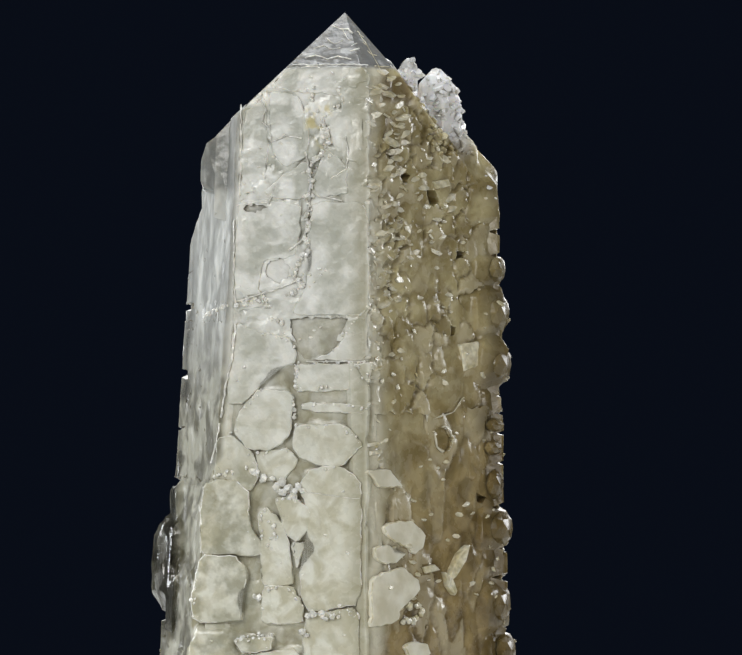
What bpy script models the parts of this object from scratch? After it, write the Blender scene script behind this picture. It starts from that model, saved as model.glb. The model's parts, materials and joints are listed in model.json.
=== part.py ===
"""A skeletal quartz crystal: one stout point, 100 mm tall, sawn off flat below.

Sizes are in millimetres and become metres as each mesh is made. +Z runs up the
crystal to its tip, and -Y is the side that faces the viewer. A place on a face
that the viewer sees is given as (across, down): millimetres to the right of the
tip, and millimetres below it.
"""
import math
import random

import bpy
import bmesh
from mathutils import Matrix, Vector

MM = 0.001
HEIGHT = 100.0
TIP = Vector((0.0, -14.0, HEIGHT))
MIDDLE_DOWN = 54.0          # where the prism faces are measured
CORE_INSET = 0.75           # the core lies this far inside the raised plates
PLATE_ROOT = 1.3            # how deep a plate is rooted in the core
CHANNEL = 0.42              # width of the channels between plates
CHAMFER = 0.26              # along every edge of a plate
TIP_MARGIN = 0.3            # bricks stay this far inside the sloping faces
LOBE_LEAN = 6.0             # degrees either way
LOBE_TURN = 14.0
LEDGE = 0.5                 # width and height of a storey's sloping ledge
LEDGE_SLOPE = 40.0
BELOW_SAW = 2.0             # rough growth reaches this far below the sawn base
SAW_SIZE = 80.0
ROUGH_CUBE = 70.0           # half side of the cube that a whole crystal is cut from
WELD = 0.0002               # points closer than this become one
SAME_PLACE = 1e-7           # in metres: points this close to a cut lie on it
SEED = 17

# The six prism faces: compass angle of the outward normal (0 faces the viewer,
# positive to the right), distance from the axis at MIDDLE_DOWN, and how many
# degrees the face flares outwards as it goes down.
PRISM = {
    "main": (-13.0, 20.5, 1.2),
    "right": (47.0, 16.9, 0.6),
    "right_back": (107.0, 20.3, 0.9),
    "back": (167.0, 19.6, 1.6),
    "left_back": (-133.0, 17.9, 2.2),
    "left": (-73.0, 20.9, 3.2),
}

# The six sloping faces at the tip: compass angle, slope from the horizontal,
# and how far each lies outside the tip.
TERMINATION = {
    "main": (-13.0, 52.0, 0.0),
    "right": (47.0, 51.0, 0.0),
    "right_back": (97.0, 50.0, 0.0),
    "back": (167.0, 51.8, 8.0),
    "left_back": (-133.0, 50.0, 0.6),
    "left": (-88.0, 43.3, 0.0),
}

# Storeys lower down stand out from the one above: depth of the ledge below the
# tip, how much further out the prism faces lie, and where some lie further yet.
STOREYS = [
    (42.8, 0.13, {"left": 0.35, "back": 0.9, "left_back": 0.5}),
    (65.2, 0.24, {"left": 1.9, "back": 1.1, "left_back": 1.4}),
    (75.8, 0.37, {"left": 2.5, "back": 1.7, "left_back": 2.3, "right_back": 0.7}),
]


def compass(angle):
    """Horizontal unit vector at an angle from the viewer's side."""
    turn = math.radians(angle)
    return Vector((math.sin(turn), -math.cos(turn), 0.0))


def sloping_normal(angle, slope):
    """Outward normal of a face that leans back: a slope of 90 degrees is upright."""
    steep = math.radians(slope)
    return compass(angle) * math.sin(steep) + Vector((0, 0, math.cos(steep)))


class Face:
    """A flat face of the crystal, with a frame (right, up, out) to draw on."""

    def __init__(self, angle, slope, origin):
        self.out = sloping_normal(angle, slope)
        self.right = Vector((math.cos(math.radians(angle)), math.sin(math.radians(angle)), 0.0))
        self.up = self.out.cross(self.right)
        self.origin = origin

    def seen_at(self, across, down):
        """Face coordinates of the point that the viewer sees at (across, down)."""
        offset = Vector((across, 0.0, HEIGHT - down)) - self.origin
        offset.y = -(self.out.x * offset.x + self.out.z * offset.z) / self.out.y
        return Vector((offset.dot(self.right), offset.dot(self.up)))

    def point(self, flat, rise=0.0):
        """Point in space at face coordinates."""
        return self.origin + self.right * flat[0] + self.up * flat[1] + self.out * rise

    def matrix(self):
        """Frame of the face, x to the right, y up and z out, in metres."""
        turn = Matrix((self.right, self.up, self.out)).transposed().to_4x4()
        return Matrix.Translation(self.origin * MM) @ turn


def prism_face(name, extra=0.0):
    angle, distance, flare = PRISM[name]
    origin = compass(angle) * (distance + extra) + Vector((0, 0, HEIGHT - MIDDLE_DOWN))
    return Face(angle, 90.0 - flare, origin)


def tip_face(name):
    """The core's plane of a sloping face at the tip, sunk by the inset."""
    angle, slope, outside = TERMINATION[name]
    origin = TIP + compass(angle) * outside
    return Face(angle, slope, origin - sloping_normal(angle, slope) * CORE_INSET)


FACES = {name: prism_face(name) for name in PRISM}


def clear_scene():
    for old in list(bpy.data.objects):
        bpy.data.objects.remove(old)


def new_collection(name):
    collection = bpy.data.collections.new(name)
    bpy.context.scene.collection.children.link(collection)
    return collection


def add_object(name, mesh, collection, helper=True):
    item = bpy.data.objects.new(name, mesh)
    collection.objects.link(item)
    if helper:
        item.hide_render = True
        item.display_type = "WIRE"
    return item


def face_outwards(bm):
    """Turns every face of a closed shape outwards."""
    bmesh.ops.recalc_face_normals(bm, faces=bm.faces)
    if bm.calc_volume(signed=True) < 0:
        bmesh.ops.reverse_faces(bm, faces=bm.faces)


def cut_flat(bm, point, normal):
    """Cuts off what lies outside a plane and closes the cut."""
    geometry = bm.verts[:] + bm.edges[:] + bm.faces[:]
    cut = bmesh.ops.bisect_plane(bm, geom=geometry, plane_co=point * MM, plane_no=normal,
                                 clear_outer=True, dist=SAME_PLACE)
    rim = [part for part in cut["geom_cut"] if isinstance(part, bmesh.types.BMEdge)]
    if rim:
        bmesh.ops.edgeloop_fill(bm, edges=rim)


def grow_between(planes, centre, reach):
    """A closed crystal: a cube cut by planes, each a point and a normal."""
    bm = bmesh.new()
    bmesh.ops.create_cube(bm, size=2.0 * reach * MM, matrix=Matrix.Translation(centre * MM))
    for point, normal in planes:
        cut_flat(bm, point, normal)
    face_outwards(bm)
    mesh = bpy.data.meshes.new("crystal")
    bm.to_mesh(mesh)
    bm.free()
    return mesh


def make_core():
    """The clean inner crystal that everything else grows on."""
    planes = [(Vector((0, 0, -BELOW_SAW)), Vector((0, 0, -1)))]
    for name in PRISM:
        face = prism_face(name, -CORE_INSET)
        planes.append((face.origin, face.out))
    for angle, slope, outside in TERMINATION.values():
        planes.append((TIP + compass(angle) * outside, sloping_normal(angle, slope)))
    return grow_between(planes, Vector((0, 0, 0.5 * HEIGHT)), ROUGH_CUBE)


def make_storey(ledge_down, wider, extra):
    """A lower storey: the same prism, a little wider, with a sloping ledge."""
    planes = [(Vector((0, 0, -BELOW_SAW - wider)), Vector((0, 0, -1))),
              (Vector((0, 0, HEIGHT - ledge_down + LEDGE)), Vector((0, 0, 1)))]
    for name, (angle, distance, _) in PRISM.items():
        face = prism_face(name, extra.get(name, wider) - CORE_INSET)
        planes.append((face.origin, face.out))
        shoulder = compass(angle) * (distance + extra.get(name, wider) - CORE_INSET - LEDGE)
        shoulder.z = HEIGHT - ledge_down
        planes.append((shoulder, sloping_normal(angle, LEDGE_SLOPE)))
    return grow_between(planes, Vector((0, 0, 0.5 * HEIGHT)), ROUGH_CUBE)


def make_block(foot, radius, top_down, bottom_down, blunt, rng, slopes=(52, 56)):
    """A small crystal in parallel growth: six sides, chamfered above and below."""
    tall = Vector((0, 0, bottom_down - top_down))
    top = Vector((foot[0], foot[1], HEIGHT - top_down))
    planes = [(top, Vector((0, 0, 1))), (top - tall, Vector((0, 0, -1)))]
    for index, (angle, _, _) in enumerate(PRISM.values()):
        size = radius * rng.uniform(0.86, 1.08)
        outwards = compass(angle)
        planes.append((top + outwards * size, outwards))
        planes.append((top + outwards * size * blunt, sloping_normal(angle, slopes[0] - 7 * (index % 2))))
        under = sloping_normal(angle, slopes[1] - 8 * ((index + 1) % 2))
        under.z = -under.z
        planes.append((top - tall + outwards * size * blunt, under))
    return grow_between(planes, top - 0.5 * tall, max(radius * 1.6, tall.z))


def corner_block(angle, corner, radius, top_down, bottom_down, rng):
    """A block whose own corner stands out at a given corner of the crystal."""
    foot = Vector((corner[0], corner[1], 0)) - compass(angle) * radius / math.cos(math.radians(30))
    mesh = make_block(foot, radius, top_down, bottom_down, rng.uniform(0.55, 0.8), rng)
    heart = foot + Vector((0, 0, HEIGHT - 0.5 * (top_down + bottom_down)))
    lean = Matrix.Rotation(math.radians(rng.uniform(-LOBE_LEAN, LOBE_LEAN)), 4, "X")
    lean = lean @ Matrix.Rotation(math.radians(rng.uniform(-LOBE_LEAN, LOBE_LEAN)), 4, "Y")
    lean = lean @ Matrix.Rotation(math.radians(rng.uniform(-LOBE_TURN, LOBE_TURN)), 4, "Z")
    mesh.transform(Matrix.Translation(heart * MM) @ lean @ Matrix.Translation(-heart * MM))
    return mesh


def make_plate(outline, face, rise, tilt=(0.0, 0.0), channel=0.0, chamfer=CHAMFER):
    """A flat plate on a face: a filled 2D curve, chamfered and rooted in the core."""
    curve = bpy.data.curves.new("outline", "CURVE")
    curve.dimensions = "2D"
    curve.fill_mode = "BOTH"
    thickness = rise + CORE_INSET + PLATE_ROOT
    curve.extrude = (0.5 * thickness - chamfer) * MM   # each way from the middle
    curve.bevel_depth = chamfer * MM
    curve.bevel_resolution = 0
    curve.offset = -(chamfer + 0.5 * channel) * MM
    spline = curve.splines.new("POLY")
    spline.points.add(len(outline) - 1)
    centre = sum((Vector(corner) for corner in outline), Vector((0, 0))) / len(outline)
    for place, corner in zip(spline.points, outline):
        flat = (Vector(corner) - centre) * MM
        place.co = (flat.x, flat.y, 0.0, 1.0)
    spline.use_cyclic_u = True
    guide = bpy.data.objects.new("outline", curve)
    bpy.context.scene.collection.objects.link(guide)
    bpy.context.view_layer.update()
    graph = bpy.context.evaluated_depsgraph_get()
    mesh = bpy.data.meshes.new_from_object(guide.evaluated_get(graph))
    bpy.data.objects.remove(guide)
    bm = bmesh.new()
    bm.from_mesh(mesh)
    bmesh.ops.remove_doubles(bm, verts=bm.verts, dist=1e-3 * MM)
    bmesh.ops.dissolve_limit(bm, angle_limit=0.01, verts=bm.verts, edges=bm.edges)
    lift = Matrix.Translation(Vector((centre.x, centre.y, rise - 0.5 * thickness)) * MM)
    lean = Matrix.Rotation(math.radians(tilt[0]), 4, "X") @ Matrix.Rotation(math.radians(tilt[1]), 4, "Y")
    bm.transform(face.matrix() @ lift @ lean)
    face_outwards(bm)
    bm.to_mesh(mesh)
    bm.free()
    return mesh


def seen_outline(face, corners):
    """An outline that the viewer sees, as face coordinates, anticlockwise."""
    flat = [face.seen_at(across, down) for across, down in corners]
    area = sum(one.x * two.y - two.x * one.y for one, two in zip(flat, flat[1:] + flat[:1]))
    return flat if area > 0 else flat[::-1]


# Plates of the main face that the viewer can tell apart, as (across, down)
# outlines, then how far each stands above or below the face.
MAIN_PLATES = [
    ([(-8.0, 7.9), (3.0, 7.9), (3.1, 12.4), (-2.6, 11.4), (-6.3, 11.2), (-10.0, 10.7)], 0.0),
    ([(-10.4, 11.2), (-6.6, 11.8), (-5.8, 14.0), (-5.0, 17.6), (-5.3, 20.2), (-8.4, 21.9),
      (-10.0, 19.2), (-10.3, 15.0)], 0.05),
    ([(-14.0, 14.2), (-11.0, 11.8), (-10.7, 19.4), (-11.4, 24.6), (-14.5, 25.6)], -0.05),
    ([(-2.4, 14.3), (2.4, 13.4), (2.6, 19.8), (0.9, 21.4), (-1.0, 19.8), (-1.9, 17.6)], -0.1),
    ([(-2.8, 19.2), (-1.3, 20.2), (0.6, 22.0), (0.1, 23.6), (0.5, 25.4), (-3.7, 25.9), (-4.3, 23.5)], 0.1),
    ([(1.2, 21.8), (2.6, 20.6), (2.7, 25.0), (1.0, 25.6)], -0.3),
    ([(-8.2, 22.6), (-5.2, 20.9), (-4.8, 24.6), (-6.0, 26.2), (-9.6, 25.9), (-11.2, 25.2)], 0.1),
    ([(-14.6, 26.2), (-9.8, 26.4), (-6.2, 27.0), (-6.3, 31.2), (-7.0, 34.2), (-11.4, 34.4),
      (-12.1, 38.4), (-11.2, 41.0), (-15.2, 41.8), (-15.3, 33.0)], 0.05),
    ([(-4.3, 26.6), (3.0, 26.8), (3.3, 34.0), (3.3, 42.2), (-7.4, 42.2), (-5.4, 38.8),
      (-4.4, 34.0), (-5.0, 31.0)], 0.15),
    ([(-15.3, 43.4), (-11.5, 44.8), (-8.0, 45.5), (-6.8, 47.5), (-6.9, 48.9), (-10.5, 50.0),
      (-11.8, 52.1), (-13.9, 54.5), (-16.5, 54.5)], 0.1),
    ([(1.4, 43.0), (3.2, 43.0), (3.2, 48.5), (-4.6, 48.6), (-1.4, 47.4), (0.4, 44.4)], 0.05),
    ([(-6.8, 49.3), (0.8, 49.3), (1.6, 51.0), (3.2, 52.2), (-2.0, 52.4), (-6.8, 52.6)], -0.15),
    ([(1.4, 49.2), (3.5, 49.2), (3.3, 51.6)], 0.35),
    ([(-5.6, 54.7), (3.0, 55.1), (3.0, 55.7), (-5.6, 55.3)], 0.0),
    ([(-11.6, 52.9), (-7.4, 53.3), (-7.8, 58.5), (-9.2, 60.0), (-10.9, 60.8), (-13.4, 60.5),
      (-14.9, 58.5), (-14.7, 56.7), (-13.4, 54.8)], 0.3),
    ([(-6.6, 57.8), (-0.1, 57.8), (2.3, 60.2), (0.3, 62.0), (-0.8, 63.0), (-3.6, 62.8),
      (-5.9, 61.8), (-7.0, 60.5)], 0.25),
    ([(-17.4, 59.8), (-15.6, 59.3), (-13.2, 61.6), (-12.6, 62.9), (-12.5, 65.0), (-13.4, 66.6),
      (-16.0, 65.2), (-17.6, 62.6)], 0.1),
    ([(-12.2, 61.6), (-10.6, 61.5), (-8.0, 61.2), (-6.9, 62.6), (-8.8, 65.2), (-11.9, 64.6)], -0.15),
    ([(-19.2, 66.0), (-17.4, 65.4), (-14.8, 65.9), (-13.6, 67.2), (-13.8, 69.9), (-13.2, 72.5),
      (-11.9, 73.9), (-11.8, 75.5), (-19.9, 75.3), (-19.7, 69.6)], 0.3),
    ([(-10.8, 69.3), (-8.8, 71.7), (-8.1, 73.9), (-7.7, 76.9), (-7.5, 79.6), (-11.2, 79.7),
      (-11.3, 73.5), (-11.7, 70.0)], 0.25),
    ([(-9.4, 67.8), (-6.6, 68.2), (-5.1, 69.6), (-5.4, 72.2), (-6.6, 73.4), (-7.4, 72.9),
      (-8.4, 70.7)], 0.35),
    ([(-7.3, 74.1), (-5.7, 74.1), (-6.6, 77.4)], 0.0),
    ([(-6.0, 66.2), (-4.8, 64.3), (-2.7, 63.6), (-0.3, 63.7), (1.0, 64.8), (2.0, 65.9),
      (2.0, 82.0), (-4.6, 83.4), (-5.6, 81.3), (-5.8, 77.7), (-3.6, 74.9), (-4.8, 72.7),
      (-4.9, 68.9)], 0.3),
    ([(-19.8, 76.1), (-15.5, 76.1), (-13.9, 77.7), (-13.9, 79.2), (-15.1, 81.2), (-14.7, 83.6),
      (-14.4, 84.6), (-19.7, 84.8), (-20.8, 84.2), (-20.9, 81.8)], 0.6),
    ([(-11.2, 80.3), (-7.6, 80.2), (-6.0, 82.6), (-6.0, 84.8), (-11.2, 84.9)], 0.4),
    ([(-15.1, 87.5), (-10.1, 87.2), (-10.5, 88.7), (-14.0, 89.0)], 0.75),
    ([(-5.0, 84.2), (1.6, 83.0), (1.8, 92.6), (-1.4, 94.2), (-5.6, 93.0), (-5.3, 87.0)], 0.35),
    ([(-13.6, 89.8), (-6.4, 88.8), (-6.2, 98.4), (-14.4, 98.2)], 0.3),
    ([(-21.0, 86.0), (-16.0, 86.0), (-15.2, 90.0), (-15.6, 98.0), (-21.6, 98.0)], 0.35),
]

RIGHT_PLATES = [
    ([(4.9, 71.7), (6.3, 71.0), (8.8, 71.0), (9.9, 72.0), (10.8, 73.1), (10.4, 74.8), (9.2, 75.7),
      (7.7, 74.5), (6.3, 73.9), (5.2, 72.8)], 0.4),
    ([(3.6, 74.5), (5.7, 74.3), (6.6, 75.2), (8.1, 75.6), (6.6, 76.9), (4.8, 76.9), (3.6, 75.7)], 0.35),
    ([(3.3, 78.8), (4.9, 78.0), (7.6, 77.4), (8.5, 78.3), (9.8, 79.4), (9.9, 80.8), (8.8, 82.0),
      (7.1, 83.3), (7.0, 85.0), (3.0, 85.7), (3.2, 84.1), (3.1, 80.4)], 0.5),
    ([(3.4, 64.1), (5.7, 63.8), (6.7, 65.0), (7.6, 66.2), (4.5, 66.4)], 0.45),
    ([(7.6, 88.5), (8.7, 87.9), (10.9, 88.1), (11.5, 89.9), (8.6, 90.4)], 0.5),
    ([(12.0, 50.4), (16.6, 50.8), (16.5, 53.6), (14.8, 56.0), (11.9, 56.8), (10.6, 54.0)], 0.45),
    ([(15.5, 46.2), (18.2, 46.4), (18.4, 50.2), (15.8, 50.6)], 0.6),
]

# Blocks on the two outlines that the viewer sees: how far to the side the block
# reaches, its half width, and the depths where it starts and ends.
LEFT_LOBES = [
    (20.7, 4.0, 23.2, 29.6), (22.4, 5.2, 28.2, 41.8), (21.7, 4.6, 40.8, 51.4), (22.9, 5.6, 50.0, 66.2),
    (25.0, 6.4, 64.4, 80.0), (27.6, 7.2, 70.2, 85.6), (26.0, 7.0, 84.0, 104.0),
]
RIGHT_LOBES = [
    (22.1, 5.0, 22.4, 31.2), (21.6, 4.2, 30.2, 34.4), (22.1, 4.6, 33.2, 38.9), (22.9, 5.0, 37.8, 46.2),
    (23.6, 4.6, 44.8, 52.6), (21.4, 4.0, 51.8, 56.4), (22.6, 2.2, 55.8, 59.4), (21.9, 4.4, 58.8, 65.4),
    (22.2, 4.6, 64.6, 70.2), (23.7, 4.8, 69.0, 76.2), (22.9, 4.2, 75.0, 80.0), (23.2, 5.0, 79.0, 88.6),
    (24.4, 5.6, 87.2, 104.0),
]
# Where those blocks sit: compass angle of the crystal's corner, and how far
# behind the middle it lies.
LEFT_CORNER = (-103.0, 2.4)
RIGHT_CORNER = (77.0, -1.6)
# The two corners behind, as compass angle, place and number of random blocks.
HIDDEN_CORNERS = [(137.0, (16.7, 16.9), 6), (197.0, (-4.8, 21.8), 6)]
HIDDEN_TOP = 36.0
HIDDEN_FLARE = 0.03         # millimetres outwards for each millimetre down
HIDDEN_TALL = (7.0, 14.0)
HIDDEN_RADIUS = (4.0, 6.0)
HIDDEN_OVERLAP = (0.4, 1.2)
# Side crystals around the foot, out of the viewer's sight: compass angle of the
# side they lean on, how far out they reach, how far to the right along that side,
# half width, and the depth of their tops.
FEET = [
    (107.0, 23.6, 3.6, 5.6, 85.5), (167.0, 24.3, 0.0, 6.2, 80.0), (-133.0, 23.8, -7.0, 5.4, 86.0),
    (-133.0, 24.2, 4.0, 5.8, 82.5),
]


def add_plates(growths, table, face, rng):
    for corners, rise in table:
        tilt = (rng.uniform(-1.2, 1.2), rng.uniform(-1.2, 1.2))
        mesh = make_plate(seen_outline(face, corners), face, rise, tilt)
        add_object("plate", mesh, growths)


def add_lobes(growths, table, place, rng):
    angle, behind = place
    side = math.copysign(1.0, compass(angle).x)
    for reach, radius, top, bottom in table:
        corner = (side * reach, behind)
        add_object("lobe", corner_block(angle, corner, radius, top, bottom, rng), growths)


def add_hidden_lobes(growths, rng):
    for angle, corner, count in HIDDEN_CORNERS:
        top = HIDDEN_TOP
        for _ in range(count):
            tall = rng.uniform(*HIDDEN_TALL)
            flare = HIDDEN_FLARE * (top - MIDDLE_DOWN) + rng.uniform(-0.2, 1.0)
            place = Vector((corner[0], corner[1], 0)) + compass(angle) * flare
            block = corner_block(angle, place, rng.uniform(*HIDDEN_RADIUS), top, top + tall, rng)
            add_object("lobe", block, growths)
            top += tall - rng.uniform(*HIDDEN_OVERLAP)


def add_feet(growths, rng):
    for angle, reach, sideways, radius, top in FEET:
        side = Face(angle, 90.0, compass(angle) * (reach - radius))
        foot = side.point((sideways, 0.0))
        block = make_block(foot, radius, top, HEIGHT + BELOW_SAW, rng.uniform(0.4, 0.7), rng)
        add_object("foot", block, growths)


def inside_termination(point):
    """Whether a point lies clear of the sloping faces, on the inside."""
    for angle, slope, outside in TERMINATION.values():
        normal = sloping_normal(angle, slope)
        if normal.dot(point - TIP - compass(angle) * outside) > -TIP_MARGIN:
            return False
    return True


def brick_cells(width, height, start, pitch, jitter, rng):
    """Staggered bricks with six shaped corners that share their jittered joints."""
    columns = int(width / pitch[0]) + 2
    rows = int(height / pitch[1]) + 2
    joints = {}
    for row in range(rows + 1):
        for step in range(2 * columns + 2):
            shift = Vector((rng.uniform(-jitter, jitter) * pitch[0], rng.uniform(-jitter, jitter) * pitch[1]))
            joints[row, step] = start + Vector((0.5 * step * pitch[0], row * pitch[1])) + shift
    for row in range(rows):
        for column in range(columns):
            step = 2 * column + row % 2
            if (row, step + 2) in joints:
                lower = [joints[row, step + side] for side in range(3)]
                upper = [joints[row + 1, step + side] for side in range(3)]
                yield lower + upper[::-1]


# Bricks that cover what the plates leave open: the face, the area as left, right,
# top and bottom, the size of a brick, its rise, the share left out, the lean in
# degrees, the unevenness, and whether they step out with the storeys.
BRICKS = [
    ("main", (-11.4, 5.0, 12.0, 99.0), (5.4, 6.6), (-0.5, -0.25), 0.1, 0.8, 0.18, False),
    ("right", (-11.6, 11.6, 12.0, 70.0), (5.2, 4.4), (-0.4, 0.4), 0.1, 7.0, 0.27, False),
    ("right", (-1.0, 11.0, 70.0, 97.0), (5.8, 6.4), (-0.5, 0.1), 0.16, 4.0, 0.22, False),
    ("left", (-6.6, 9.6, 16.0, 98.0), (4.4, 9.6), (-0.4, 0.4), 0.1, 2.0, 0.18, True),
    ("right_back", (-7.6, 7.6, 20.0, 98.0), (7.4, 9.6), (-0.1, 0.6), 0.1, 2.0, 0.18, True),
    ("back", (-8.8, 8.8, 20.0, 98.0), (7.4, 9.6), (-0.1, 0.6), 0.1, 2.0, 0.18, True),
    ("left_back", (-11.0, 11.0, 20.0, 98.0), (7.4, 9.6), (-0.1, 0.6), 0.1, 2.0, 0.18, True),
]


def storey_step(name, down):
    """How far the face has stepped out at a given depth."""
    reached = [extra.get(name, wider) for ledge, wider, extra in STOREYS if down > ledge]
    return max(reached, default=0.0)


def add_bricks(growths, name, area, pitch, rises, gaps, tilt, jitter, stepped, rng):
    left, right, top, bottom = area
    face = FACES[name]
    start = Vector((left, MIDDLE_DOWN - bottom))
    for corners in brick_cells(right - left, bottom - top, start, pitch, jitter, rng):
        centre = sum(corners, Vector((0, 0))) / len(corners)
        missing = rng.random() < gaps
        rise = rng.uniform(*rises)
        lean = (rng.uniform(-tilt, tilt), rng.uniform(-tilt, tilt))
        on_face = left <= centre.x <= right and MIDDLE_DOWN - bottom <= centre.y <= MIDDLE_DOWN - top
        below_tip = all(inside_termination(face.point(corner, rise)) for corner in corners)
        if missing or not on_face or not below_tip:
            continue
        if stepped:
            rise += storey_step(name, MIDDLE_DOWN - centre.y)
        add_object("brick", make_plate(corners, face, rise, lean, channel=CHANNEL), growths)


# The right shoulder and the two white clusters of small crystals on it: place
# of each crystal's axis, half width, and the depths of its top and foot.
SHOULDER = [((11.5, -1.5), 6.3, 14.6, 40.0), ((16.0, 1.0), 4.9, 18.8, 44.0)]
CHIPS = [
    ((12.9, -4.9), 2.4, 7.5, 19.0), ((14.4, -4.2), 2.0, 9.8, 20.0), ((11.7, -3.4), 1.9, 10.0, 19.0),
    ((14.6, -2.6), 1.8, 10.8, 20.0), ((8.9, -9.6), 1.3, 6.1, 14.0), ((7.8, -8.4), 1.0, 8.0, 13.0),
]


def add_chips(growths, rng):
    for foot, radius, top, bottom in SHOULDER:
        add_object("shoulder", make_block(foot, radius, top, bottom, 0.5, rng), growths)
    for foot, radius, top, bottom in CHIPS:
        block = make_block(foot, radius, top, bottom, 0.25, rng, slopes=(56, 40))
        add_object("chip", block, growths)


# Thin terraces on the sloping faces behind the tip: the face, an outline as
# (sideways, down the slope from the tip), and how far each stands out.
TERRACES = [
    ("back", [(-4.0, 16.0), (5.0, 14.0), (8.5, 24.0), (6.0, 33.0), (-5.0, 34.0), (-8.0, 25.0)], 0.7),
    ("back", [(-2.0, 22.0), (4.0, 21.0), (5.4, 27.0), (3.0, 31.0), (-3.0, 30.0)], 1.3),
    ("right_back", [(-1.0, 9.0), (3.0, 8.0), (6.5, 15.0), (5.5, 20.0), (2.5, 17.0)], 0.6),
    ("right_back", [(6.5, 20.5), (11.0, 19.0), (14.0, 26.0), (13.0, 31.0), (10.0, 28.0)], 0.8),
    ("left_back", [(-5.0, 15.0), (2.0, 11.0), (6.5, 20.0), (5.0, 28.0), (-3.0, 29.0), (-7.0, 22.0)], 0.7),
    ("left_back", [(-2.0, 19.0), (3.0, 18.0), (3.6, 24.0), (-1.0, 26.0)], 1.2),
]


def add_terraces(growths, rng):
    for name, corners, rise in TERRACES:
        face = tip_face(name)
        outline = [Vector((side, -down)) for side, down in reversed(corners)]
        lean = (rng.uniform(-0.6, 0.6), rng.uniform(-0.6, 0.6))
        add_object("terrace", make_plate(outline, face, CORE_INSET + rise, lean), growths)


def cut_prism(outline, face, depth, height=3.0):
    """A straight-sided cutter that sinks to a depth below the face."""
    mesh = make_plate(outline, face, height, chamfer=0.05)
    shift = face.out * (CORE_INSET + PLATE_ROOT - depth) * MM
    mesh.transform(Matrix.Translation(shift))
    return mesh


# Hollows in the two faces that the viewer sees: outline as (across, down) and
# depth below the face. The dark pits near the top right are the deepest.
PITS = [
    ("main", [(-7.6, 42.7), (0.6, 42.7), (-0.1, 43.9), (-1.8, 47.0), (-5.4, 48.7), (-6.6, 47.2),
              (-7.3, 45.1)], 0.9),
    ("main", [(-11.4, 34.6), (-7.6, 34.4), (-7.2, 36.8), (-8.4, 38.0), (-10.6, 37.8)], 0.8),
    ("main", [(-13.9, 27.0), (-11.8, 27.0), (-12.2, 28.3), (-13.8, 28.2)], 1.0),
    ("main", [(-3.6, 26.6), (2.4, 25.2), (2.6, 26.4)], 0.7),
    ("right", [(11.2, 25.0), (12.6, 24.8), (12.9, 26.6), (12.0, 27.2), (11.3, 26.4)], 2.0),
    ("right", [(7.8, 22.2), (8.9, 22.6), (8.4, 24.0), (7.7, 23.6)], 1.7),
    ("right", [(5.2, 8.6), (8.6, 12.4), (6.0, 12.8), (5.0, 11.0)], 0.9),
    ("right", [(12.4, 58.2), (13.6, 58.0), (14.5, 59.4), (14.4, 61.0), (13.4, 61.6), (12.5, 60.6),
               (12.1, 59.2)], 1.7),
    ("right", [(15.2, 33.4), (16.5, 33.2), (16.6, 34.2), (15.4, 34.4)], 1.6),
    ("right", [(9.0, 44.2), (11.4, 43.4), (12.0, 45.4), (10.0, 46.4)], 1.0),
    ("right", [(12.2, 68.4), (14.6, 67.6), (15.4, 69.6), (13.4, 70.6)], 1.2),
]


def add_pits(pits):
    for name, corners, depth in PITS:
        face = FACES[name]
        add_object("pit", cut_prism(seen_outline(face, corners), face, depth), pits)


def add_saw(pits):
    """Takes away all that lies below the base, so that the crystal stands flat."""
    mesh = bpy.data.meshes.new("saw")
    bm = bmesh.new()
    below = Matrix.Translation(Vector((0, 0, -0.5 * SAW_SIZE * MM)))
    bmesh.ops.create_cube(bm, size=SAW_SIZE * MM, matrix=below)
    bm.to_mesh(mesh)
    bm.free()
    add_object("saw", mesh, pits)


def quartz_material():
    material = bpy.data.materials.new("milky quartz")
    material.use_nodes = True
    shader = material.node_tree.nodes["Principled BSDF"]
    shader.inputs["Base Color"].default_value = (0.60, 0.58, 0.48, 1.0)
    shader.inputs["Roughness"].default_value = 0.25
    shader.inputs["Metallic"].default_value = 0.0
    shader.inputs["IOR"].default_value = 1.544
    shader.inputs["Transmission Weight"].default_value = 0.4
    return material


def add_boolean(item, operation, collection):
    step = item.modifiers.new(operation.lower(), "BOOLEAN")
    step.operation = operation
    step.solver = "EXACT"
    step.operand_type = "COLLECTION"
    step.collection = collection


def shells_of(bm):
    """Groups of vertices that hang together, the largest first."""
    left = set(bm.verts)
    shells = []
    while left:
        shell = {left.pop()}
        edge_of_shell = list(shell)
        while edge_of_shell:
            near = {edge.other_vert(vert) for vert in edge_of_shell for edge in vert.link_edges}
            edge_of_shell = list(near - shell)
            shell |= near
        left -= shell
        shells.append(shell)
    return sorted(shells, key=len, reverse=True)


def make_solid(item):
    """Applies the Booleans, welds hairline edges and closes up enclosed bubbles."""
    graph = bpy.context.evaluated_depsgraph_get()
    mesh = bpy.data.meshes.new_from_object(item.evaluated_get(graph))
    item.modifiers.clear()
    item.data = mesh
    bm = bmesh.new()
    bm.from_mesh(mesh)
    bmesh.ops.remove_doubles(bm, verts=bm.verts, dist=WELD * MM)
    for bubble in shells_of(bm)[1:]:
        bmesh.ops.delete(bm, geom=list(bubble), context="VERTS")
    bmesh.ops.triangulate(bm, faces=bm.faces)
    bm.to_mesh(mesh)
    bm.free()


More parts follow.
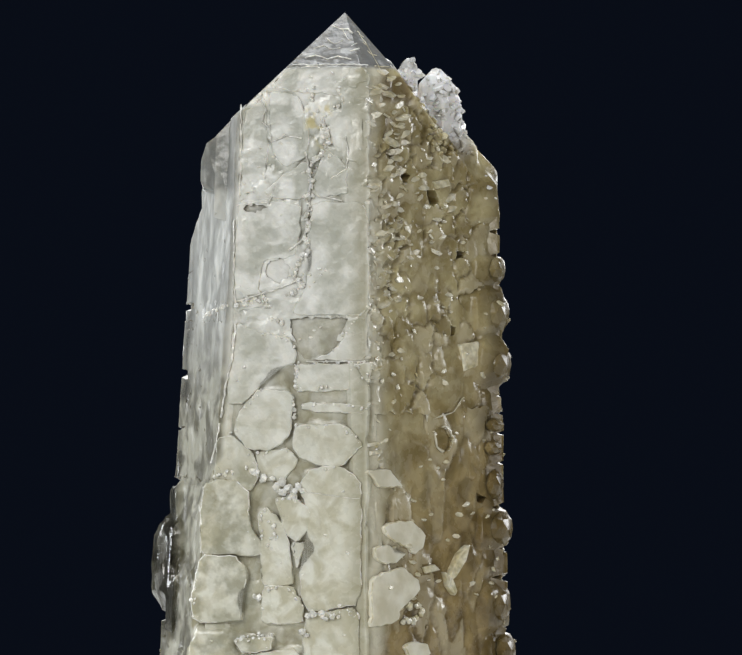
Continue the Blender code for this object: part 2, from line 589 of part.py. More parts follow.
def main():
    clear_scene()
    rng = random.Random(SEED)
    crystals = new_collection("skeletal_quartz_crystal")
    growths = new_collection("growths")
    pits = new_collection("pits")
    for ledge_down, wider, extra in STOREYS:
        add_object("storey", make_storey(ledge_down, wider, extra), growths)
    add_plates(growths, MAIN_PLATES, FACES["main"], rng)
    add_plates(growths, RIGHT_PLATES, FACES["right"], rng)
    add_lobes(growths, LEFT_LOBES, LEFT_CORNER, rng)
    add_lobes(growths, RIGHT_LOBES, RIGHT_CORNER, rng)
    add_hidden_lobes(growths, rng)
    add_chips(growths, rng)
    add_terraces(growths, rng)
    for row in BRICKS:
        add_bricks(growths, *row, rng)
    add_feet(growths, rng)
    crystal = add_object("quartz_crystal", make_core(), crystals, helper=False)
    crystal.data.materials.append(quartz_material())
    add_pits(pits)
    add_saw(pits)
    add_boolean(crystal, "UNION", growths)
    add_boolean(crystal, "DIFFERENCE", pits)
    make_solid(crystal)


main()
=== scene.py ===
# %% [markdown]
# # A skeletal quartz crystal
#
# Skeletal quartz grows faster along its edges than in the middle of its faces. The
# result is one point whose faces are covered with separate flat plates, with
# hollows between them. This lesson dresses the plain solid of such a crystal: it
# adds the smaller growths, then the quartz, which is clear at the tip and the
# corners, milky in front and brown on the right.

# %% Load the solid
import json
import math
import random

import bmesh
import bpy
from mathutils import Matrix, Vector

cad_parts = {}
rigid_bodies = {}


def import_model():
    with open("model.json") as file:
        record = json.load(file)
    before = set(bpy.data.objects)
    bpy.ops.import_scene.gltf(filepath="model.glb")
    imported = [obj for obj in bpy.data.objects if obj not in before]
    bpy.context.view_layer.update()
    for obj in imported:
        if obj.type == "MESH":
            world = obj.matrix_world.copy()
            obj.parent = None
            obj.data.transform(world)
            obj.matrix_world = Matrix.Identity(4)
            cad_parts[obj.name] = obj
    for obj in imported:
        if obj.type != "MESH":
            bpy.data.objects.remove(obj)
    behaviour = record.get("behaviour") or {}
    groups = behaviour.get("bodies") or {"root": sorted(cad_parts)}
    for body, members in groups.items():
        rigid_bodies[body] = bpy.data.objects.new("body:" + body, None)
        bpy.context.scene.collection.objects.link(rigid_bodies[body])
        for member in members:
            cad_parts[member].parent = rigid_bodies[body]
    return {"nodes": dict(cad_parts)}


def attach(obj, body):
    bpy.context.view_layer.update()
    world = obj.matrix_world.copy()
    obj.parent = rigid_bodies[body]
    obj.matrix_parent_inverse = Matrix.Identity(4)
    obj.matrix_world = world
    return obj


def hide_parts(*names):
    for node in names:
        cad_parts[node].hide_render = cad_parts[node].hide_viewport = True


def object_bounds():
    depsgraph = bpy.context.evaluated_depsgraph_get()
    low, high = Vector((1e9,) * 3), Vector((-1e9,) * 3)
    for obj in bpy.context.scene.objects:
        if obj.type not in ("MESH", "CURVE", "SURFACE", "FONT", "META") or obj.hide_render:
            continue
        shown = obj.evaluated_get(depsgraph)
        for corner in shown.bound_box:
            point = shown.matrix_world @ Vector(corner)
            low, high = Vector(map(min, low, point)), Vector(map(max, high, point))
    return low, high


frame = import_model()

solid = frame["nodes"]["quartz_crystal"]
solid_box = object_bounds()
print("the solid has", len(solid.data.polygons), "triangles")

# %% [markdown]
# ## Measures
#
# Every place is given in millimetres, as on a drawing, and turned into metres at
# the last moment. A crystal's faces lie at fixed angles, so each is kept as a plane
# with a frame of its own: right, up and outwards. A place on a face that the viewer
# sees is written as (across, down), counted from the tip.

# %% Things in the scene
def put(name, data):
    """A new object in the scene, from a mesh, a camera or a lamp."""
    thing = bpy.data.objects.new(name, data)
    bpy.context.scene.collection.objects.link(thing)
    return thing


def group(name):
    made = bpy.data.collections.new(name)
    bpy.context.scene.collection.children.link(made)
    return made


def shape_from(bm, name):
    """The mesh that a bmesh holds."""
    mesh = bpy.data.meshes.new(name)
    bm.to_mesh(mesh)
    bm.free()
    return mesh


print("helpers: put, group, shape_from")

# %% The faces of the crystal
MM = 0.001
HEIGHT = 100.0
MIDDLE_DOWN = 54.0
TIP = Vector((0.0, -14.0, HEIGHT))

# the compass angle of each prism face, its distance from the axis, and its flare
PRISM = {
    "main": (-13.0, 20.5, 1.2),
    "right": (47.0, 16.9, 0.6),
    "right_back": (107.0, 20.3, 0.9),
    "back": (167.0, 19.6, 1.6),
    "left_back": (-133.0, 17.9, 2.2),
    "left": (-73.0, 20.9, 3.2),
}
# the compass angle of each sloping face, its slope, and how far it misses the tip
TERMINATION = {
    "main": (-13.0, 52.0, 0.0),
    "right": (47.0, 51.0, 0.0),
    "right_back": (97.0, 50.0, 0.0),
    "back": (167.0, 51.8, 8.0),
    "left_back": (-133.0, 50.0, 0.6),
    "left": (-88.0, 43.3, 0.0),
}


def compass(angle):
    """Horizontal unit vector at an angle from the viewer's side."""
    turn = math.radians(angle)
    return Vector((math.sin(turn), -math.cos(turn), 0.0))


def sloping_normal(angle, slope):
    steep = math.radians(slope)
    return compass(angle) * math.sin(steep) + Vector((0, 0, math.cos(steep)))


class Face:
    """A flat face of the crystal, with a frame (right, up, out) to draw on."""

    def __init__(self, angle, slope, origin):
        self.out = sloping_normal(angle, slope)
        self.right = Vector((math.cos(math.radians(angle)), math.sin(math.radians(angle)), 0.0))
        self.up = self.out.cross(self.right)
        self.origin = origin

    def seen_at(self, across, down):
        """Face coordinates of the point that the viewer sees at (across, down)."""
        offset = Vector((across, 0.0, HEIGHT - down)) - self.origin
        offset.y = -(self.out.x * offset.x + self.out.z * offset.z) / self.out.y
        return Vector((offset.dot(self.right), offset.dot(self.up)))

    def point(self, flat, rise=0.0):
        return self.origin + self.right * flat[0] + self.up * flat[1] + self.out * rise

    def matrix(self):
        turn = Matrix((self.right, self.up, self.out)).transposed().to_4x4()
        return Matrix.Translation(self.origin * MM) @ turn


FACES = {}
for name, (angle, distance, flare) in PRISM.items():
    middle = compass(angle) * distance + Vector((0, 0, HEIGHT - MIDDLE_DOWN))
    FACES[name] = Face(angle, 90.0 - flare, middle)
print("faces:", ", ".join(FACES))

# %% [markdown]
# ## Camera
#
# The photograph looks level at the crystal from some way off, so its upright lines
# stay upright. A long lens a metre away gives the same picture. The picture is
# 742 by 655 pixels, and 0.14 mm of the crystal's front fills each pixel.

# %% Camera
PIXEL = 0.14
PICTURE = (742, 655)
TIP_PIXEL = (345, 13)
AWAY = 1000.0
FRONT = -12.0

camera_data = bpy.data.cameras.new("camera")
camera_data.sensor_width = 36.0
camera_data.lens = camera_data.sensor_width * AWAY / (PICTURE[0] * PIXEL)
camera_data.clip_start = 0.01
camera = put("camera", camera_data)
camera.location = Vector(((0.5 * PICTURE[0] - TIP_PIXEL[0]) * PIXEL, FRONT - AWAY,
                          HEIGHT - (0.5 * PICTURE[1] - TIP_PIXEL[1]) * PIXEL)) * MM
camera.rotation_euler = (math.radians(90), 0, 0)
bpy.context.scene.camera = camera
print("lens", round(camera_data.lens), "mm, camera at", [round(c, 4) for c in camera.location])

# %% [markdown]
# ## Floor and light
#
# The crystal stands on a pale disc. Quartz shows its form mostly by reflections, so
# the lights are large and soft, and the room beyond them is dark, as behind the real
# one. That makes clear edges read as dark glass with a bright rim.

# %% Floor
FLOOR_RADIUS = 0.19
PAPER = (0.62, 0.62, 0.60, 1.0)

bm = bmesh.new()
bmesh.ops.create_circle(bm, cap_ends=True, radius=FLOOR_RADIUS, segments=96)
floor = put("floor", shape_from(bm, "floor"))
paper = bpy.data.materials.new("pale paper")
paper.use_nodes = True
matt = paper.node_tree.nodes["Principled BSDF"].inputs
matt["Base Color"].default_value = PAPER
matt["Roughness"].default_value = 0.9
floor.data.materials.append(paper)
print("floor", 2 * FLOOR_RADIUS, "m across")

# %% Lights
# the place of each lamp in metres, its width, its power in watts and its colour
LIGHTS = {
    "key": ((-0.42, -0.55, 0.34), 0.34, 3.4, (1.0, 0.99, 0.96)),
    "fill": ((0.50, -0.52, 0.16), 0.30, 1.3, (1.0, 0.97, 0.92)),
    "top": ((-0.05, 0.04, 0.55), 0.30, 1.8, (0.97, 0.99, 1.0)),
    "rim_left": ((-0.50, 0.30, 0.16), 0.24, 1.5, (0.94, 0.97, 1.0)),
    "rim_right": ((0.52, 0.34, 0.20), 0.24, 1.5, (0.96, 0.98, 1.0)),
    "behind": ((0.05, 0.62, 0.24), 0.34, 1.4, (1.0, 0.99, 0.97)),
}
AIM = Vector((0.0, 0.0, 0.055))
ROOM = (0.0028, 0.0042, 0.0085, 1.0)

for name, (place, size, power, colour) in LIGHTS.items():
    lamp = bpy.data.lights.new(name, "AREA")
    lamp.size = size
    lamp.energy = power
    lamp.color = colour
    light = put(name, lamp)
    light.location = place
    light.rotation_euler = (AIM - Vector(place)).to_track_quat("-Z", "Y").to_euler()

world = bpy.data.worlds.new("dark room")
world.use_nodes = True
world.node_tree.nodes["Background"].inputs["Color"].default_value = ROOM
world.node_tree.nodes["Background"].inputs["Strength"].default_value = 1.0
bpy.context.scene.world = world
bpy.context.scene.view_settings.view_transform = "Standard"
print("lights:", ", ".join(LIGHTS))

# %% [markdown]
# ## A way to write node trees
#
# Node trees for shape and for colour are written as sums. A small class wraps one
# socket and knows plus, minus, times and divided by, so `1 - mask` adds a Math node.
# Every other node comes from one method: its type, its settings, its inputs.


# %% Values and graphs
class Value:
    """A number from a socket. Sums on it add Math nodes."""

    def __init__(self, graph, socket):
        self.graph = graph
        self.socket = socket

    def output(self, index):
        """Another output of the same node."""
        return Value(self.graph, self.socket.node.outputs[index])

    def sum_with(self, operation, one, two):
        return self.graph.node("ShaderNodeMath", {"operation": operation}, {0: one, 1: two})

    def __add__(self, other):
        return self.sum_with("ADD", self, other)

    def __radd__(self, other):
        return self.sum_with("ADD", other, self)

    def __sub__(self, other):
        return self.sum_with("SUBTRACT", self, other)

    def __rsub__(self, other):
        return self.sum_with("SUBTRACT", other, self)

    def __mul__(self, other):
        return self.sum_with("MULTIPLY", self, other)

    def __rmul__(self, other):
        return self.sum_with("MULTIPLY", other, self)

    def __rtruediv__(self, other):
        return self.sum_with("DIVIDE", other, self)

    def __truediv__(self, other):
        return self.sum_with("DIVIDE", self, other)

    def least(self, other):
        return self.sum_with("MINIMUM", self, other)

    def most(self, other):
        return self.sum_with("MAXIMUM", self, other)

    def over(self, low, high, to_low=0.0, to_high=1.0):
        """0 below low, 1 above high, with a soft step between."""
        return self.graph.node(
            "ShaderNodeMapRange", {"interpolation_type": "SMOOTHSTEP"},
            {"Value": self, "From Min": low, "From Max": high, "To Min": to_low, "To Max": to_high})


class Graph:
    """A node tree, written one node at a time."""

    def __init__(self, tree):
        self.tree = tree

    def connect(self, value, socket):
        if isinstance(value, Value):
            value = value.socket
        if isinstance(value, bpy.types.NodeSocket):
            self.tree.links.new(value, socket)
        else:
            socket.default_value = value

    def node(self, kind, settings=None, inputs=None, output=0):
        """Adds a node. Its settings come first, then the values or links of its sockets."""
        made = self.tree.nodes.new(kind)
        for key, setting in (settings or {}).items():
            setattr(made, key, setting)
        for key, value in (inputs or {}).items():
            self.connect(value, made.inputs[key])
        return Value(self, made.outputs[output])

    def vector(self, operation, one, two):
        return self.node("ShaderNodeVectorMath", {"operation": operation}, {0: one, 1: two})

    def scaled(self, vector, by):
        return self.node("ShaderNodeVectorMath", {"operation": "SCALE"}, {0: vector, "Scale": by})

    def along(self, x=0.0, y=0.0, z=0.0):
        """A vector from three numbers."""
        return self.node("ShaderNodeCombineXYZ", None, {0: x, 1: y, 2: z})


print("values know + - * / least most over")

# %% [markdown]
# ## The crystal's own mesh
#
# The solid comes as loose triangles. A copy of it is merged, so that it is closed
# again, and everything else grows on that copy. The solid itself stays as it is.

# %% Copy of the solid
SAME_POINT = 1e-7
NEAR_BASE = 0.05
FOOT_DOWN = 2.0


def evaluated(thing):
    """The mesh that an object's modifiers give."""
    bpy.context.view_layer.update()
    graph = bpy.context.evaluated_depsgraph_get()
    return bpy.data.meshes.new_from_object(thing.evaluated_get(graph))


bm = bmesh.new()
bm.from_mesh(solid.data)
bmesh.ops.remove_doubles(bm, verts=bm.verts, dist=SAME_POINT)
print("open edges:", sum(not edge.is_manifold for edge in bm.edges))
for vert in bm.verts:
    if vert.co.z < NEAR_BASE * MM:
        vert.co.z = -FOOT_DOWN * MM
crystal = put("skeletal_quartz", shape_from(bm, "skeletal_quartz"))

# %% [markdown]
# ## Softened growth
#
# Real growth has no knife edges, only the tip has. The copy is rebuilt from small
# cells and smoothed a little, which rounds every lobe and step. Its foot was drawn
# down first, so that the flat base can be cut clean afterwards.

# %% Soften the copy
CELL = 0.42


def cut_with(thing, operation, tool):
    """A Boolean with one object or with a whole collection."""
    step = thing.modifiers.new(operation.lower(), "BOOLEAN")
    step.operation = operation
    step.solver = "MANIFOLD"
    step.material_mode = "TRANSFER"
    if isinstance(tool, bpy.types.Collection):
        step.operand_type = "COLLECTION"
        step.collection = tool
    else:
        step.object = tool


cells = crystal.modifiers.new("cells", "REMESH")
cells.mode = "VOXEL"
cells.voxel_size = CELL * MM
soften = crystal.modifiers.new("soften", "SMOOTH")
soften.factor = 0.5
soften.iterations = 3
fewer = crystal.modifiers.new("fewer", "DECIMATE")
fewer.ratio = 0.30
soft = evaluated(crystal)
crystal.modifiers.clear()
crystal.data = soft
print("softened copy:", len(soft.polygons), "sides")

# %% [markdown]
# ## The envelope
#
# New growth must not stand out of the tip's sloping faces, and on the front it ends
# close to the corners. A cube cut by the planes of all the faces gives a shape to
# trim it with. A smaller one, the core, closes gaps behind the skins later, and a
# plain box keeps everything inside the solid's own height and width.

# %% Envelope
ENVELOPE_IN = 0.12
FOOT_IN = 0.02
CORE_IN = 1.2
SKIN_ROOM = 1.0
CUBE_HALF = 70.0
MARGIN = 0.05 * MM


def cut_flat(bm, point, normal):
    geometry = bm.verts[:] + bm.edges[:] + bm.faces[:]
    cut = bmesh.ops.bisect_plane(bm, geom=geometry, plane_co=point * MM, plane_no=normal,
                                 clear_outer=True, dist=SAME_POINT)
    rim = [part for part in cut["geom_cut"] if isinstance(part, bmesh.types.BMEdge)]
    if rim:
        bmesh.ops.edgeloop_fill(bm, edges=rim)


def grow_between(planes):
    """A closed crystal: a cube cut by planes, each a point and a normal."""
    bm = bmesh.new()
    middle = Matrix.Translation(Vector((0, 0, 0.5 * HEIGHT)) * MM)
    bmesh.ops.create_cube(bm, size=2.0 * CUBE_HALF * MM, matrix=middle)
    for point, normal in planes:
        cut_flat(bm, point, normal)
    bmesh.ops.recalc_face_normals(bm, faces=bm.faces)
    if bm.calc_volume(signed=True) < 0:
        bmesh.ops.reverse_faces(bm, faces=bm.faces)
    return shape_from(bm, "crystal")


def envelope(name, outs, tip_in=ENVELOPE_IN):
    """The crystal's outer shape. A prism face not named in outs leaves room for skins."""
    planes = [(Vector((0, 0, FOOT_IN)), Vector((0, 0, -1)))]
    for key, face in FACES.items():
        planes.append((face.origin + face.out * outs.get(key, SKIN_ROOM), face.out))
    for angle, slope, outside in TERMINATION.values():
        normal = sloping_normal(angle, slope)
        planes.append((TIP + compass(angle) * outside - normal * tip_in, normal))
    return put(name, grow_between(planes))


trims = {
    "main": envelope("trim", {"right": 0.12, "left": 0.10}),
    "right": envelope("trim", {"main": 0.06}),
    "left": envelope("trim", {"main": 0.08}),
}
plain_trim = envelope("trim", {})
core = envelope("core", {name: -CORE_IN for name in FACES}, tip_in=0.0)
# a box just inside the solid's own, which also saws the foot flat
low, high = (Vector(corner) for corner in solid_box)
low, high = low + Vector((MARGIN, MARGIN, 0)), high - Vector((MARGIN, MARGIN, 0))
bm = bmesh.new()
middle = 0.5 * (low + high)
bmesh.ops.create_cube(bm, size=1.0, matrix=Matrix.LocRotScale(middle, None, high - low))
limits = put("limits", shape_from(bm, "limits"))
print("envelope has", len(plain_trim.data.polygons), "sides")

# %% [markdown]
# ## Skins
#
# Between its raised plates the real crystal is smooth and gently wavy, as if it had
# melted, because later quartz grew over the steps. A box with a fine grid on its
# outer side makes such a skin. A node tree moves that side in and out with two sizes
# of noise, drawn out along the crystal where the growth ran in upright flutes. Cells
# of a third pattern lie each at its own height, as scales with creases between them,
# and the ends of the skin wander up and down, as the storeys do.


# %% A tree with named inputs
class Tree(Graph):
    """A geometry-node tree. Each input's kind follows from its first value."""

    KINDS = {float: "NodeSocketFloat", int: "NodeSocketInt", tuple: "NodeSocketVector",
             type(None): "NodeSocketMaterial"}

    def __init__(self, name, inputs):
        super().__init__(bpy.data.node_groups.new(name, "GeometryNodeTree"))
        face = self.tree.interface
        face.new_socket("Geometry", in_out="INPUT", socket_type="NodeSocketGeometry")
        self.identifiers = {}
        for key, value in inputs.items():
            socket = face.new_socket(key, in_out="INPUT", socket_type=self.KINDS[type(value)])
            if value is not None:
                socket.default_value = value
            self.identifiers[key] = socket.identifier
        face.new_socket("Geometry", in_out="OUTPUT", socket_type="NodeSocketGeometry")
        self.entry = self.tree.nodes.new("NodeGroupInput")
        self.exit = self.tree.nodes.new("NodeGroupOutput")

    def input(self, name):
        return Value(self, self.entry.outputs[name])

    def more(self, one, two):
        """True where one number is larger than the other."""
        return self.node("FunctionNodeCompare", {"data_type": "FLOAT", "operation": "GREATER_THAN"},
                         {0: one, 1: two})

    def logic(self, operation, *parts):
        return self.node("FunctionNodeBooleanMath", {"operation": operation},
                         dict(enumerate(parts)))

    def random(self, low, high, seed):
        return self.node("FunctionNodeRandomValue", {"data_type": "FLOAT"},
                         {2: low, 3: high, "Seed": seed}, output=1)

    def random_vector(self, low, high, seed):
        return self.node("FunctionNodeRandomValue", {"data_type": "FLOAT_VECTOR"},
                         {0: low, 1: high, "Seed": seed})

    def noise(self, place, scale, seed):
        """Noise from about -1 to 1."""
        made = self.node("ShaderNodeTexNoise", {"noise_dimensions": "4D"}, {
            "Vector": place, "W": seed, "Scale": scale, "Detail": 2.0, "Roughness": 0.5})
        return (made - 0.5) * 2.0

    def strayed(self, points, by):
        """Points, each moved at random by up to a distance along each axis."""
        offset = self.scaled(self.random_vector((-1, -1, -1), (1, 1, 1), self.input("Seed")), by)
        return self.node("GeometryNodeSetPosition", None, {"Geometry": points, "Offset": offset})

    def one_shape(self, instances):
        """Joins all instances to one closed mesh."""
        return self.node("GeometryNodeMeshBoolean", {"operation": "UNION", "solver": "MANIFOLD"},
                         {"Mesh 2": instances})

    def finish(self, geometry, material):
        """Real geometry and a material, as every tree here ends."""
        real = self.node("GeometryNodeRealizeInstances", None, {0: geometry})
        dressed = self.node("GeometryNodeSetMaterial", None,
                            {"Geometry": real, "Material": material})
        self.connect(dressed, self.exit.inputs[0])
        print(self.tree.name, "tree has", len(self.tree.nodes), "nodes")

    def use_on(self, thing, values):
        """Adds the tree to an object, with its own values."""
        step = thing.modifiers.new(self.tree.name, "NODES")
        step.node_group = self.tree
        for key, value in values.items():
            step[self.identifiers[key]] = value


quartz = bpy.data.materials.new("skeletal quartz")
pale_quartz = bpy.data.materials.new("pale quartz")
# broken quartz is white, and its white also stands for glints and shining rims: partly a painted
# highlight
broken_quartz_and_highlight = bpy.data.materials.new("broken quartz")

# %% The block of a skin and its waves
skin_tree = Tree("skin", {
    "Width": 0.02, "Height": 0.1, "Depth": 0.003, "Step": 0.0006, "Rise": 0.0,
    "Wave": 0.0004, "Wave size": 150.0, "Stretch": 1.0, "Ripple": 0.0001,
    "Ripple size": 700.0, "Scale rise": 0.0002, "Scale size": 300.0, "Seed": 0.0})
take = skin_tree.input
add = skin_tree.node
block = add("GeometryNodeMeshCube", None, {
    "Size": skin_tree.along(take("Width"), take("Height"), take("Depth")),
    "Vertices X": take("Width") / take("Step"), "Vertices Y": take("Height") / take("Step"),
    "Vertices Z": 2})
sideways = add("ShaderNodeSeparateXYZ", None, {0: add("GeometryNodeInputPosition")})
upright = sideways.output(1) / take("Stretch")
level = sideways.output(2)
pattern = skin_tree.along(sideways + take("Seed") * 0.1, upright)
wave = skin_tree.noise(pattern, take("Wave size"), take("Seed")) * take("Wave")
ripple = skin_tree.noise(pattern, take("Ripple size"), take("Seed") + 7.3) * take("Ripple")

# %% Its scales
# Cells with narrow creases between them, bent by a noise and stronger in places.
BEND = 0.9

bent = add("ShaderNodeTexNoise", {"noise_dimensions": "3D"}, {
    "Vector": pattern, "Scale": take("Scale size") * 1.3, "Detail": 2.0}, output=1)
bent = skin_tree.vector("SUBTRACT", bent, (0.5, 0.5, 0.5))
bent = skin_tree.vector("ADD", pattern, skin_tree.scaled(bent, BEND / take("Scale size")))
cells_at = {"Vector": bent, "Scale": take("Scale size")}
flat = {"voronoi_dimensions": "2D"}
edge = add("ShaderNodeTexVoronoi", {"feature": "DISTANCE_TO_EDGE", **flat}, cells_at)
own = add("ShaderNodeTexVoronoi", {"feature": "F1", **flat}, cells_at, output=1)
own = add("ShaderNodeSeparateXYZ", None, {0: own})
strong = add("ShaderNodeTexNoise", {"noise_dimensions": "3D"}, {
    "Vector": pattern, "Scale": take("Scale size") * 0.42, "Detail": 1.0})
strong = strong.over(0.36, 0.62, 0.2, 1.0)
# a scale is high in its middle and low at its edge, and some lie higher than others
scales = (edge.over(0.0, 0.17) * 0.75 + own * 0.9 - 1.0) * take("Scale rise") * strong
crease = (1.0 - edge.over(0.015, 0.085)) * strong

# %% Both sides of the block moved
# The creases, where the material paints shade, and each scale's own tone are stored for the
# material.
WANDER = 1.7
WANDER_SCALE = 330.0

wander = skin_tree.noise(skin_tree.along(sideways), WANDER_SCALE, take("Seed") + 3.1)
wander = wander * (WANDER * MM)
half_depth = take("Depth") * 0.5
outer = skin_tree.more(level, 0.0)
marked = block
for attribute, value in (("crease", crease), ("tone", own)):
    marked = add("GeometryNodeStoreNamedAttribute", {"data_type": "FLOAT", "domain": "POINT"}, {
        "Geometry": marked, "Name": attribute, "Value": value})
lowered = add("GeometryNodeSetPosition", None, {
    "Geometry": marked, "Selection": skin_tree.logic("NOT", outer),
    "Offset": skin_tree.along(0.0, wander, 0.0 - half_depth)})
moved = add("GeometryNodeSetPosition", None, {
    "Geometry": lowered, "Selection": outer,
    "Offset": skin_tree.along(0.0, wander, take("Rise") + wave + ripple + scales - half_depth)})
skin_tree.finish(moved, quartz)

# %% Skins on all six faces
# The face, the skin's left, right, top and bottom, the rise, the wave, its size and
# its stretch, the ripple, the rise and size of the scales, and the step of the grid.
SKINS = [
    ("main", -12.0, 8.8, 6.0, 46.0, 0.0, 0.14, 5.0, 1.0, 0.09, 0.42, 2.7, 0.42),
    ("main", -12.4, 8.8, 45.6, 101.6, -0.36, 0.08, 5.0, 1.0, 0.04, 0.1, 4.2, 0.5),
    ("right", -15.0, 13.2, 4.0, 56.0, 0.3, 0.26, 6.0, 1.0, 0.08, 0.62, 3.2, 0.42),
    ("right", -15.0, 13.2, 55.4, 101.6, 0.26, 0.42, 6.0, 2.2, 0.1, 0.5, 4.2, 0.42),
    ("left", -11.4, 11.9, 8.0, 43.6, 0.55, 0.32, 4.4, 1.6, 0.04, 0.12, 4.6, 0.5),
    ("left", -11.4, 11.9, 43.2, 66.0, 0.76, 0.32, 4.8, 1.6, 0.04, 0.12, 5.0, 0.5),
    ("left", -11.6, 12.1, 65.4, 76.4, 1.05, 0.25, 5.0, 1.6, 0.02, 0.12, 5.0, 0.55),
    ("left", -11.8, 12.3, 76.0, 101.6, 1.25, 0.25, 5.0, 1.6, 0.02, 0.12, 5.0, 0.55),
    ("right_back", -9.0, 11.0, 10.0, 76.2, 0.1, 0.36, 4.0, 2.2, 0.08, 0.7, 4.0, 0.6),
    ("right_back", -9.0, 11.0, 75.8, 101.6, 0.5, 0.36, 4.0, 2.2, 0.08, 0.7, 4.4, 0.6),
    ("back", -10.8, 10.8, 20.0, 66.0, 0.55, 0.36, 4.4, 2.2, 0.08, 0.75, 4.8, 0.6),
    ("back", -11.0, 11.0, 65.4, 76.4, 0.85, 0.36, 4.4, 2.0, 0.08, 0.75, 4.4, 0.6),
    ("back", -11.0, 11.0, 76.0, 101.6, 1.4, 0.36, 4.4, 2.0, 0.08, 0.75, 4.8, 0.6),
    ("left_back", -13.0, 13.0, 14.0, 66.0, 0.25, 0.36, 4.0, 2.2, 0.08, 0.75, 5.0, 0.6),
    ("left_back", -13.2, 13.2, 65.4, 76.4, 1.15, 0.36, 4.0, 2.0, 0.08, 0.75, 4.6, 0.6),
    ("left_back", -13.2, 13.2, 76.0, 101.6, 1.95, 0.36, 4.0, 2.0, 0.08, 0.75, 5.0, 0.6),
]
SKIN_DEPTH = 3.2
RIPPLE_SHARE = 0.3
SEED_STEP = 1.7

growths = group("growths")


def add_growth(name, mesh, material, into=growths):
    """Takes a closed mesh into the growths, all in one material."""
    mesh.materials.clear()
    mesh.materials.append(material)
    into.objects.link(bpy.data.objects.new(name, mesh))


def grow(name, thing, tree, values, material):
    """Sends an object through a tree and keeps the mesh that it gives."""
    tree.use_on(thing, values)
    add_growth(name, evaluated(thing), material)
    bpy.data.objects.remove(thing)


for number, row in enumerate(SKINS):
    name, left, right, top, bottom, rise, wave, wave_size, stretch = row[:9]
    ripple, scale_rise, scale_size, step = row[9:]
    middle = Vector((0.5 * (left + right), MIDDLE_DOWN - 0.5 * (top + bottom), 0.0))
    skin = put("skin", bpy.data.meshes.new("skin"))
    skin.matrix_world = FACES[name].matrix() @ Matrix.Translation(middle * MM)
    skin_tree.use_on(skin, {
        "Width": (right - left) * MM, "Height": (bottom - top) * MM, "Depth": SKIN_DEPTH * MM,
        "Step": step * MM, "Rise": rise * MM, "Stretch": stretch,
        "Wave": wave * MM, "Wave size": 1.0 / (wave_size * MM),
        "Ripple": ripple * MM, "Ripple size": 1.0 / (RIPPLE_SHARE * wave_size * MM),
        "Scale rise": scale_rise * MM, "Scale size": 1.0 / (scale_size * MM),
        "Seed": SEED_STEP * number})
    cut_with(skin, "INTERSECT", trims.get(name, plain_trim))
    mesh = evaluated(skin)
    mesh.transform(skin.matrix_world)
    add_growth("skin", mesh, quartz)
    bpy.data.objects.remove(skin)
crystal.data.materials.clear()
for part in (crystal, core, limits):
    part.data.materials.append(quartz)
print(len(SKINS), "skins")
